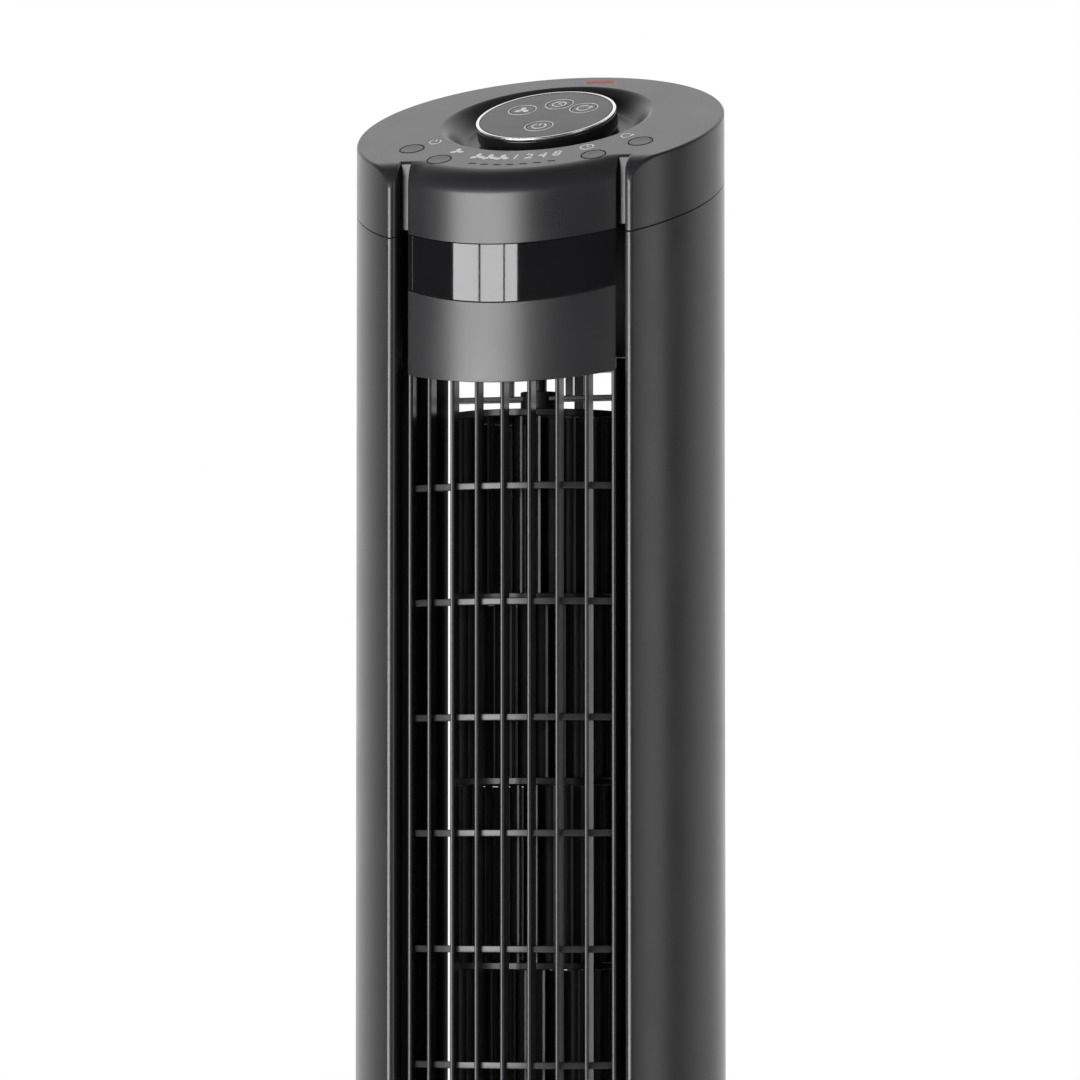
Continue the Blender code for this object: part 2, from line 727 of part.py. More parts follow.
def build_bearing(looks):
    """The bar that carries the impeller's upper bearing, hung on posts from the duct ceiling."""
    bar_z = IMPELLER_TOP + 0.0055
    bar = (-0.0385, -0.006, bar_z), (0.050, 0.006, bar_z + 0.002)
    bracket = boxes("bearing_bracket", [bar], looks["inside"])
    boss = rod("bearing_boss", BUSH_RADIUS + 0.0025, IMPELLER_TOP + 0.002, bar_z + 0.004, None, steps=20)
    posts = [
        ((x - POST / 2, -POST / 2, bar_z + 0.001), (x + POST / 2, POST / 2, CEILING_Z - GAP))
        for x in (-POST_X, POST_X)
    ]
    combine(bracket, boss, "UNION")
    combine(bracket, boxes("bearing_posts", posts), "UNION")
    bush_seat = rod("bush_seat", BUSH_RADIUS + SLIDE, 0.5, bar_z + 0.0022, None, steps=20)
    combine(bracket, bush_seat, "DIFFERENCE")
    way = rod("stub_way", SHAFT_RADIUS + 0.0006, 0.5, 0.7, None, steps=16)
    combine(bracket, way, "DIFFERENCE")
    low = IMPELLER_TOP + 0.0022
    tube("upper_bearing", SHAFT_RADIUS + SLIDE, BUSH_RADIUS, low, bar_z + 0.0019, looks["bronze"], steps=20)


def build_motor(looks):
    top = BULKHEAD_Z - GAP
    stator_top = top - MOTOR_CUP - GAP
    stator_low = stator_top - STATOR
    cup_low = stator_low - GAP
    inner = MOTOR_RADIUS - 0.004
    shaft = SHAFT_RADIUS + 0.0005
    upper = (
        (shaft, top - 0.003),
        (0.012, top - 0.003),
        (0.012, top),
        (0.016, top),
        (MOTOR_RADIUS - 0.005, top - 0.003),
        (MOTOR_RADIUS - 0.002, stator_top + GAP),
        (inner, stator_top + GAP),
        (inner - 0.002, top - 0.006),
        (shaft, top - 0.006),
    )
    turned("motor_top_cover", upper, looks["steel"], steps=24)
    tube("motor_stator", 0.022, MOTOR_RADIUS, stator_low, stator_top, looks["laminations"], steps=24)
    lower = (
        (0.0, cup_low - MOTOR_CUP),
        (MOTOR_RADIUS - 0.008, cup_low - MOTOR_CUP),
        (MOTOR_RADIUS - 0.002, cup_low),
        (inner, cup_low),
        (inner - 0.005, cup_low - MOTOR_CUP + 0.002),
        (0.0, cup_low - MOTOR_CUP + 0.002),
    )
    turned("motor_bottom_cover", lower, looks["steel"], steps=24, closed=False)
    boxes("capacitor", [((-0.066, -0.012, 0.150), (-0.052, 0.022, 0.176))], looks["window"])


# Swing drive in the tower


def build_swing(looks):
    plate = (-0.024, 0.022, BRACKET_Z), (0.024, 0.048, BRACKET_Z + BRACKET)
    bracket = boxes("swing_bracket", [plate], looks["inside"])
    floor = FLOOR_Z + FOOT_FLOOR + GAP
    legs = [((x - 0.003, 0.040, floor), (x + 0.003, 0.047, BRACKET_Z + 0.001)) for x in (-0.020, 0.020)]
    combine(bracket, boxes("bracket_legs", legs), "UNION")
    centre = (0.0, PINION_Y)
    combine(bracket, rod("pinion_way", 0.006, 0.0, 0.1, None, centre=centre), "DIFFERENCE")
    can_z = BRACKET_Z + BRACKET + GAP
    can_top = can_z + SWING_CAN
    can = rod("swing_motor", SWING_CAN_RADIUS, can_z, can_top, looks["steel"], centre=centre, steps=28)
    shaft_top = can_z + 0.008
    way = rod("swing_motor_bore", PINION_SHAFT + SLIDE, 0.0, shaft_top + GAP, None, centre=centre)
    combine(can, way, "DIFFERENCE")
    axis = empty("pinion_axis", (*centre, 0.0))
    facing = math.radians(-90) + math.pi / PINION_TEETH
    outline = gear_outline(PINION_TEETH, facing, -BACKLASH)
    pinion = prism("swing_pinion", outline, GEAR_Z, GEAR_Z + GEAR_WIDTH, looks["nylon"], axis)
    shaft = rod("pinion_shaft", PINION_SHAFT, GEAR_Z + 0.001, shaft_top, None, axis, steps=16)
    combine(pinion, shaft, "UNION")


# Top cap. Its details lie in the slanted top plane: x, distance up the slope, and height above it.


def cap_outline():
    """The cap's section, from the inset front round the oval, each point with its angle."""
    front = [(x, y, 0.0) for x, y in front_arc(FRONT_HALF, 8)]
    first = oval_angle(WING_X)
    turns = [first + (math.tau - 2 * first) * i / CAP_STEPS for i in range(CAP_STEPS + 1)]
    return front + [(*oval(turn), min(turn, math.tau - turn)) for turn in turns]


def cap_body(looks):
    """The solid cap: upright sides on a slanted seam, and a rounded edge under the slanted top."""
    seam = slanted(SEAM_Z, TOP_SLANT)
    top = slanted(TOP_Z, TOP_SLANT)
    outline = cap_outline()
    bm = bmesh.new()
    wing = oval_angle(WING_X)
    fade = math.radians(85)
    stages = (0.0, 0.25, 0.5, 0.75, 1.0)
    rings = [[bm.verts.new((x, y, seam(y))) for x, y, _ in outline]]
    rings += [[] for _ in stages]
    for x, y, turn in outline:
        blend = min(max((turn - wing) / (fade - wing), 0.0), 1.0) if turn else 0.0
        reach = FRONT_ROUND + (SIDE_ROUND - FRONT_ROUND) * blend
        inward = Vector((-x / HALF_WIDTH**2, -y / HALF_DEPTH**2)).normalized()
        inward = (Vector((0.0, 1.0)) * (1 - blend) + inward * blend).normalized()
        corner = Vector((x, y, top(y)))
        start = corner - Vector((0.0, 0.0, reach))
        end = Vector((x + inward.x * reach, y + inward.y * reach, top(y + inward.y * reach)))
        for stage, t in enumerate(stages, 1):
            point = start * (1 - t) ** 2 + corner * 2 * t * (1 - t) + end * t**2
            rings[stage].append(bm.verts.new(point))
    for lower, upper in zip(rings, rings[1:]):
        for i in range(len(lower)):
            j = (i + 1) % len(lower)
            bm.faces.new((lower[i], lower[j], upper[j], upper[i]))
    bm.faces.new(rings[0])
    bm.faces.new(rings[-1])
    return finish("top_cap", bm, looks["shell"])


def dish(name, grow, floor, parent):
    """An oval bowl in the top plane, open upwards, as a tool."""
    stages = ((0.0, 0.0), (0.35, 0.25), (0.7, 0.72), (1.0, 1.0))
    bm = bmesh.new()
    rings = []
    for inward, down in ((0.0, -0.25), *stages):
        half_x = DISH_HALF_WIDTH + grow - DISH_SLOPE * inward
        half_s = DISH_HALF_LENGTH + grow - DISH_SLOPE * inward
        turns = [math.tau * i / DISH_STEPS for i in range(DISH_STEPS)]
        rings.append(
            [
                bm.verts.new((half_x * math.cos(a), DISH_CENTRE + half_s * math.sin(a), -floor * down))
                for a in turns
            ]
        )
    for upper, lower in zip(rings, rings[1:]):
        for i in range(DISH_STEPS):
            j = (i + 1) % DISH_STEPS
            bm.faces.new((upper[i], upper[j], lower[j], lower[i]))
    bm.faces.new(rings[0])
    bm.faces.new(rings[-1])
    return finish(name, bm, None, parent)


def light_places():
    xs = [(i - (LIGHTS - 1) / 2) * LIGHT_PITCH for i in range(LIGHTS)]
    return [(x, LIGHT_ROW + LIGHT_ARC * x * x) for x in xs]


def build_cap(looks, plane):
    cap = cap_body(looks)
    step_x = WING_X + 0.0001
    step_y = oval(oval_angle(WING_X))[1] + WING_RETURN + 0.0004
    bay = FRONT_HALF - WALL
    first = oval_angle(step_x, WALL)
    outline = [(-step_x, step_y), (-bay, step_y), *front_arc(bay, 10, CAP_FRONT_WALL)]
    outline += [(bay, step_y), (step_x, step_y), *oval_arc(first, math.tau - first, 40, WALL)]
    below = slanted(SEAM_Z, TOP_SLANT, -0.02)
    underside = slanted(TOP_Z, TOP_SLANT, -CAP_WALL / math.cos(TOP_SLANT))
    cavity = prism("cap_cavity", outline, below, underside, None)
    combine(cavity, dish("dish_outside", CAP_WALL, DISH_DEPTH + CAP_WALL, plane), "DIFFERENCE")
    combine(cap, cavity, "DIFFERENCE")
    combine(cap, dish("dish_hollow", 0.0, DISH_DEPTH, plane), "DIFFERENCE")
    low, high = SEAM_Z - 0.1, HEIGHT + 0.1
    front = -HALF_DEPTH - 0.01
    inside_x = WING_X - WING_WALL
    grooves = [((FRONT_HALF, front, low), (inside_x, step_y - 0.003, high))]
    grooves.append(((-inside_x, front, low), (-FRONT_HALF, step_y - 0.003, high)))
    combine(cap, boxes("cap_grooves", grooves), "DIFFERENCE")
    slots = [((x - 0.0018, s - 0.0006, -0.01), (x + 0.0018, s + 0.0006, 0.01)) for x, s in light_places()]
    combine(cap, boxes("light_slots", slots, None, plane), "DIFFERENCE")
    for name, place in BUTTON_PLACES.items():
        hole = rod(f"{name}_hole", BUTTON_RADIUS + SLIDE, -0.006, 0.006, None, plane, place, 18)
        combine(cap, hole, "DIFFERENCE")


def build_controls(looks, plane):
    """The buttons, the light guide and the board under them."""
    board_top = -BOARD_DEPTH
    switch_top = board_top + 0.003
    stem_end = switch_top + BUTTON_TRAVEL + GAP
    for name, place in BUTTON_PLACES.items():
        profile = (
            (0.0, stem_end),
            (0.002, stem_end),
            (0.002, -CAP_WALL - GAP - 0.0012),
            (BUTTON_RADIUS + 0.0011, -CAP_WALL - GAP - 0.0012),
            (BUTTON_RADIUS + 0.0011, -CAP_WALL - GAP),
            (BUTTON_RADIUS, -CAP_WALL - GAP),
            (BUTTON_RADIUS, -0.0004),
            (BUTTON_RADIUS - 0.0004, 0.0),
            (0.0, 0.0001),
        )
        seat = empty(f"{name}_seat", (*place, 0.0), parent=plane)
        turned(name, profile, looks["button"], seat, steps=18, closed=False)
    strip = (-0.0215, LIGHT_ROW - 0.002, -0.0055), (0.0215, LIGHT_ROW + 0.005, -CAP_WALL - GAP)
    guide = boxes("light_guide", [strip], looks["lens"], plane)
    prongs = [
        ((x - 0.0015, s - 0.0003, -0.004), (x + 0.0015, s + 0.0003, -0.0003)) for x, s in light_places()
    ]
    combine(guide, boxes("light_prongs", prongs, None, plane), "UNION")
    front, step, back = -0.0465, -0.0310, -0.0130
    narrow, wide = 0.0400, 0.0590
    outline = [(-narrow, front), (narrow, front), (narrow, step), (wide, step)]
    outline += [(wide, back), (-wide, back), (-wide, step), (-narrow, step)]
    board = prism("control_board", outline, board_top - BOARD, board_top, looks["board"], plane)
    switches = [
        ((x - 0.003, s - 0.003, board_top - 0.0008), (x + 0.003, s + 0.003, switch_top))
        for x, s in BUTTON_PLACES.values()
    ]
    combine(board, boxes("switches", switches, None, plane), "UNION")


# Remote control. It lies in the dish, in the same plane as the cap's details.


def build_remote(looks, plane):
    floor = GAP - DISH_DEPTH
    home = empty("remote_home", (0.0, REMOTE_CENTRE, floor), parent=plane)
    ring_low = REMOTE_SHELL + GAP
    profile = (
        (0.0, 0.0),
        (REMOTE_RADIUS - 0.0015, 0.0),
        (REMOTE_RADIUS, 0.0015),
        (REMOTE_RADIUS, REMOTE_SHELL),
        (REMOTE_RADIUS - 0.002, REMOTE_SHELL),
        (REMOTE_RADIUS - 0.002, REMOTE_FLOOR),
        (0.0, REMOTE_FLOOR),
    )
    shell = turned("remote_shell", profile, looks["remote"], home, steps=36, closed=False)
    recess = rod("cover_recess", COVER_RADIUS + SLIDE, -0.01, COVER + 2 * GAP, None, home)
    combine(shell, recess, "DIFFERENCE")
    combine(shell, rod("cell_pocket", CELL_RADIUS, -0.01, REMOTE_FLOOR - 0.0007, None, home), "DIFFERENCE")
    cover = rod("battery_cover", COVER_RADIUS, GAP, GAP + COVER, looks["remote"], home)
    slot = (-0.0008, -0.0065, -0.01), (0.0008, 0.0065, GAP + 0.0007)
    combine(cover, boxes("coin_slot", [slot], None, home), "DIFFERENCE")
    ring_inner = REMOTE_RADIUS - REMOTE_RING
    tube("remote_ring", ring_inner, REMOTE_RADIUS, ring_low, REMOTE_HEIGHT, looks["silver"], home, steps=36)
    face_low = REMOTE_FLOOR + KEY_TRAVEL + 0.0012
    face = rod("remote_face", REMOTE_RADIUS - 0.0023, face_low, REMOTE_HEIGHT, looks["face"], home, steps=36)
    for name, place in KEY_PLACES.items():
        hole = rod(f"{name}_hole", KEY_RADIUS + SLIDE, 0.0, 0.02, None, home, place, 18)
        combine(face, hole, "DIFFERENCE")
        seat = empty(f"{name}_seat", (*place, 0.0), parent=home)
        rod(name, KEY_RADIUS, face_low - 0.0002, REMOTE_HEIGHT, looks["key"], seat, steps=18)


def make_materials():
    return {
        "shell": material("charcoal_abs", (0.045, 0.045, 0.047), 0.42),
        "grille": material("charcoal_grille_abs", (0.060, 0.060, 0.062), 0.45),
        "inside": material("black_abs", (0.012, 0.012, 0.013), 0.5),
        "window": material("smoked_gloss_acrylic", (0.010, 0.010, 0.011), 0.06),
        "button": material("charcoal_button_abs", (0.030, 0.030, 0.032), 0.45),
        "impeller": material("black_impeller_plastic", (0.014, 0.014, 0.015), 0.42),
        "lens": material("clear_light_guide", (0.080, 0.080, 0.085), 0.2),
        "rubber": material("black_rubber", (0.015, 0.015, 0.015), 0.8),
        "nylon": material("natural_nylon", (0.70, 0.68, 0.60), 0.4),
        "steel": material("zinc_plated_steel", (0.55, 0.55, 0.56), 0.35, 1.0),
        "laminations": material("electrical_steel", (0.22, 0.22, 0.23), 0.5, 1.0),
        "bronze": material("sintered_bronze", (0.45, 0.27, 0.12), 0.45, 1.0),
        "board": material("green_circuit_board", (0.02, 0.13, 0.05), 0.5),
        "remote": material("black_remote_abs", (0.010, 0.010, 0.011), 0.3),
        "silver": material("silver_ring", (0.62, 0.62, 0.63), 0.28, 1.0),
        "face": material("grey_remote_film", (0.12, 0.12, 0.125), 0.4),
        "key": material("grey_key_film", (0.13, 0.13, 0.135), 0.42),
    }


def build():
    for old in list(bpy.data.objects):
        bpy.data.objects.remove(old, do_unlink=True)
    looks = make_materials()
    build_base(looks)
    tower_foot(looks)
    build_shells(looks)
    build_front(looks)
    build_impeller(looks)
    build_duct(looks)
    build_motor(looks)
    build_swing(looks)
    plane = empty("top_plane", (0.0, 0.0, TOP_Z), (TOP_SLANT, 0.0, 0.0))
    build_cap(looks, plane)
    build_controls(looks, plane)
    build_remote(looks, plane)


build()
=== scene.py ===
"""Looks of a tower fan: moulded shells, a barred front, a cross-flow impeller and a docked remote.

Metres, +Z up, the front towards -Y.
"""

import math
import bmesh
import bpy
from mathutils import Matrix, Vector


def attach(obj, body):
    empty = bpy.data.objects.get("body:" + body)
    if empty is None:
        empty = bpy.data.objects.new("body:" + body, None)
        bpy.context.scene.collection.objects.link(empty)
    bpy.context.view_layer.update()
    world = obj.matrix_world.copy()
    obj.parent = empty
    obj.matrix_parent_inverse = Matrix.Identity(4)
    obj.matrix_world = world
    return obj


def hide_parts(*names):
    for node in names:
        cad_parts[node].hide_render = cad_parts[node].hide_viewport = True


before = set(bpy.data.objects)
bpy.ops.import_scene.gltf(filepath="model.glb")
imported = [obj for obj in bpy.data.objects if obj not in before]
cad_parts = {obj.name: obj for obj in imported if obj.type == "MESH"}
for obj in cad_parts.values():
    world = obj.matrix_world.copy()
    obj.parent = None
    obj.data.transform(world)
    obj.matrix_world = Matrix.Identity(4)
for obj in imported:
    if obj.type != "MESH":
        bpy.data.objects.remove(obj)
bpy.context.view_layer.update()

# Camera
CAMERA_TURN = math.radians(17.5)
CAMERA_AWAY = 3.0
CAMERA_HEIGHT = 0.404
AIM_HEIGHT = 0.552
LENS = 229.9

# Tower section
HALF_WIDTH = 0.082
HALF_DEPTH = 0.060
GROOVE_X = 0.0516  # inner side of each wing
WING_BACK_Y = -0.0341  # where the shells stop behind the groove
WING_EDGE = 0.0026
WALL = 0.0025
FRONT_RADIUS = 0.086
FRONT_CENTRE = 0.031
FRONT_HALF = 0.047
REAR_TURN = math.radians(130)
GAP = 0.0003
GROOVE_END_Y = -0.0365  # the groove stops here in the cap
INSERT_BACK_Y = -0.0345

# Heights on the axis, and the slants of the cuts
TOP_SLANT = math.radians(25.5)
WINDOW_SLANT = math.radians(28.8)
BAND_SLANT = math.radians(19.5)
TOP_Z = 0.7612 - HALF_DEPTH * math.tan(TOP_SLANT)
SEAM_Z = TOP_Z - 0.0296
WINDOW_Z = SEAM_Z - 0.0211
BAND_Z = WINDOW_Z - 0.0452
TOWER_Z = 0.0517
GRILLE_Z = 0.198
RIB_TOP_Z = 0.573
RIB_PITCH = 0.0496
BAR_INSET = 0.0004
REAR_SCREW_HEIGHTS = (0.085, 0.175)
PLANE = Matrix.Translation((0, 0, TOP_Z)) @ Matrix.Rotation(TOP_SLANT, 4, "X")

IMPELLER_TOP = 0.6069
SEGMENT = 0.0794
DISC = 0.003
BLADES = 30

BUTTON_PLACES = {
    "power": (-0.052, -0.0232),
    "mode": (-0.035, -0.0384),
    "timer": (0.035, -0.0384),
    "swing": (0.052, -0.0232),
}
KEY_PLACES = {
    "power": (0.0009, -0.0145),
    "mode": (-0.0130, 0.0077),
    "timer": (0.0022, 0.0140),
    "swing": (0.0152, 0.0077),
}
REMOTE_CENTRE = 0.0105
REMOTE_FLOOR = -0.0075
REMOTE_RADIUS = 0.031
REMOTE_HEIGHT = 0.0095


# Modelling by hand


def only(piece):
    bpy.ops.object.select_all(action="DESELECT")
    piece.select_set(True)
    bpy.context.view_layer.objects.active = piece


def named(name):
    piece = bpy.context.active_object
    piece.name = name
    piece.data.name = name
    return piece


def pick(piece, kind, wanted):
    """Opens edit mode with only the wanted vertices, edges or faces selected."""
    only(piece)
    bpy.ops.object.mode_set(mode="EDIT")
    bpy.ops.mesh.select_mode(type=kind)
    if wanted is everything:
        bpy.ops.mesh.select_all(action="SELECT")
        return
    bpy.ops.mesh.select_all(action="DESELECT")
    bm = bmesh.from_edit_mesh(piece.data)
    group = {"VERT": bm.verts, "EDGE": bm.edges, "FACE": bm.faces}[kind]
    for item in group:
        corners = [item] if kind == "VERT" else item.verts
        centre = sum((v.co for v in corners), Vector()) / len(corners)
        if wanted(item, centre):
            item.select_set(True)
    bm.select_flush(True)
    bmesh.update_edit_mesh(piece.data)


def everything(item, centre):
    return True


def upright(edge, least=0.01):
    """Whether an edge climbs by more than a least height."""
    return abs(edge.verts[0].co.z - edge.verts[1].co.z) > least


def close():
    bpy.ops.object.mode_set(mode="OBJECT")


def bake_place(piece):
    only(piece)
    bpy.ops.object.transform_apply(location=True, rotation=True, scale=True)


def outward(piece):
    pick(piece, "FACE", everything)
    bpy.ops.mesh.remove_doubles(threshold=1e-6)
    bpy.ops.mesh.normals_make_consistent(inside=False)
    close()


def modify(piece, kind, **settings):
    """Adds a modifier and applies it."""
    only(piece)
    modifier = piece.modifiers.new(kind.title(), kind)
    for name, value in settings.items():
        setattr(modifier, name, value)
    bpy.ops.object.modifier_apply(modifier=modifier.name)


def round_edges(piece, width, segments=3, angle=35):
    modify(
        piece,
        "BEVEL",
        width=width,
        segments=segments,
        limit_method="ANGLE",
        angle_limit=math.radians(angle),
        use_clamp_overlap=True,
        miter_outer="MITER_ARC",
    )


def smooth(piece, angle=38, weighted=True):
    only(piece)
    bpy.ops.object.shade_smooth_by_angle(angle=math.radians(angle))
    if weighted:
        modify(piece, "WEIGHTED_NORMAL", keep_sharp=True, weight=80)


def carve(piece, tool, operation="DIFFERENCE"):
    modify(piece, "BOOLEAN", object=tool, operation=operation, solver="EXACT")
    bpy.data.objects.remove(tool, do_unlink=True)
    return piece


def draw(name, points, closed=False):
    """A line drawn point by point, filled if it is closed."""
    first = Vector(points[0])
    bpy.ops.mesh.primitive_plane_add(size=0.001, location=first)
    piece = named(name)
    bake_place(piece)
    pick(piece, "VERT", everything)
    bpy.ops.mesh.merge(type="CENTER")
    for a, b in zip(points, points[1:]):
        step = Vector(b) - Vector(a)
        bpy.ops.mesh.extrude_region_move(TRANSFORM_OT_translate={"value": step})
    if closed:
        bpy.ops.mesh.select_all(action="SELECT")
        bpy.ops.mesh.edge_face_add()
    close()
    return piece


def spun(name, profile, steps=64, centre=(0.0, 0.0)):
    """A closed or axis-to-axis profile of (radius, height) spun about an upright axis."""
    ring = profile[0][0] > 1e-9
    points = [(r, 0.0, z) for r, z in profile]
    piece = draw(name, points + points[:1] if ring else points)
    pick(piece, "VERT", everything)
    bpy.ops.mesh.remove_doubles(threshold=1e-7)
    bpy.ops.mesh.select_all(action="SELECT")
    bpy.ops.mesh.spin(steps=steps, angle=math.tau, center=(0, 0, 0), axis=(0, 0, 1))
    close()
    outward(piece)
    piece.location = (*centre, 0.0)
    bake_place(piece)
    return piece


def extruded(piece, step):
    pick(piece, "FACE", everything)
    bpy.ops.mesh.extrude_region_move(TRANSFORM_OT_translate={"value": step})
    close()
    outward(piece)
    return piece


def bisect(piece, place, normal, above=False, fill=False):
    """Cuts off what lies before the plane's normal, or behind it if above is set."""
    pick(piece, "VERT", everything)
    bpy.ops.mesh.bisect(
        plane_co=place,
        plane_no=normal,
        use_fill=fill,
        clear_outer=not above,
        clear_inner=above,
        threshold=1e-7,
    )
    close()


def slant_normal(slant):
    return (0.0, -math.sin(slant), math.cos(slant))


def copied(piece, name):
    only(piece)
    bpy.ops.object.duplicate(linked=False)
    return named(name)


def mirrored(piece, name):
    twin = copied(piece, name)
    twin.scale.x = -1.0
    bake_place(twin)
    outward(twin)
    return twin


def joined(name, pieces):
    bpy.ops.object.select_all(action="DESELECT")
    for piece in pieces:
        piece.select_set(True)
    bpy.context.view_layer.objects.active = pieces[0]
    bpy.ops.object.join()
    return named(name)


def on_top(piece, place=(0.0, 0.0, 0.0)):
    """Moves a piece made flat on the ground onto the slanted top."""
    piece.matrix_world = PLANE @ Matrix.Translation(place)
    bake_place(piece)
    return piece


def arc(radius_x, radius_y, start, end, steps, centre=(0.0, 0.0)):
    return [
        (
            centre[0] + radius_x * math.cos(start + (end - start) * i / steps),
            centre[1] + radius_y * math.sin(start + (end - start) * i / steps),
        )
        for i in range(steps + 1)
    ]


# Materials. Colours are sRGB hex values.


def linear(code):
    parts = [int(code[i : i + 2], 16) / 255 for i in (1, 3, 5)]
    return (*[p / 12.92 if p <= 0.04045 else ((p + 0.055) / 1.055) ** 2.4 for p in parts], 1.0)


def node(tree, kind, inputs=None, **settings):
    made = tree.nodes.new(kind)
    for name, value in settings.items():
        setattr(made, name, value)
    for name, value in (inputs or {}).items():
        if isinstance(value, bpy.types.NodeSocket):
            tree.links.new(value, made.inputs[name])
        else:
            made.inputs[name].default_value = value
    return made


def new_material(name, colour, roughness, metallic=0.0, ior=1.5, **more):
    made = bpy.data.materials.new(name)
    made.use_nodes = True
    shader = made.node_tree.nodes["Principled BSDF"]
    shader.inputs["Base Color"].default_value = linear(colour)
    shader.inputs["Roughness"].default_value = roughness
    shader.inputs["Metallic"].default_value = metallic
    shader.inputs["IOR"].default_value = ior
    for socket, value in more.items():
        shader.inputs[socket.replace("_", " ").title()].default_value = value
    return made


def textured(made, dark, light, patch_mm, grain_mm, relief_mm, rough=(0.4, 0.5), stretch=(1, 1, 1)):
    """Adds slow colour drift, a fine grain in the relief, and a roughness that follows both."""
    tree = made.node_tree
    shader = tree.nodes["Principled BSDF"]
    place = node(tree, "ShaderNodeTexCoord").outputs["Object"]
    place = node(tree, "ShaderNodeMapping", {"Vector": place, "Scale": stretch}).outputs["Vector"]
    drift = node(
        tree, "ShaderNodeTexNoise", {"Vector": place, "Scale": 1000 / patch_mm, "Detail": 4.0}
    ).outputs["Fac"]
    grain = node(
        tree, "ShaderNodeTexNoise", {"Vector": place, "Scale": 1000 / grain_mm, "Detail": 2.0}
    ).outputs["Fac"]
    both = node(
        tree, "ShaderNodeMix", {"Factor": 0.45, "A": drift, "B": grain}, data_type="FLOAT"
    ).outputs["Result"]
    colours = node(tree, "ShaderNodeValToRGB", {"Fac": both})
    colours.color_ramp.elements[0].position = 0.3
    colours.color_ramp.elements[1].position = 0.7
    colours.color_ramp.elements[0].color = linear(dark)
    colours.color_ramp.elements[1].color = linear(light)
    tree.links.new(colours.outputs["Color"], shader.inputs["Base Color"])
    spread = node(
        tree,
        "ShaderNodeMapRange",
        {"Value": both, "From Min": 0.3, "From Max": 0.7, "To Min": rough[0], "To Max": rough[1]},
    )
    tree.links.new(spread.outputs["Result"], shader.inputs["Roughness"])
    bump = node(
        tree, "ShaderNodeBump", {"Height": grain, "Strength": 1.0, "Distance": relief_mm / 1000}
    )
    tree.links.new(bump.outputs["Normal"], shader.inputs["Normal"])
    return made


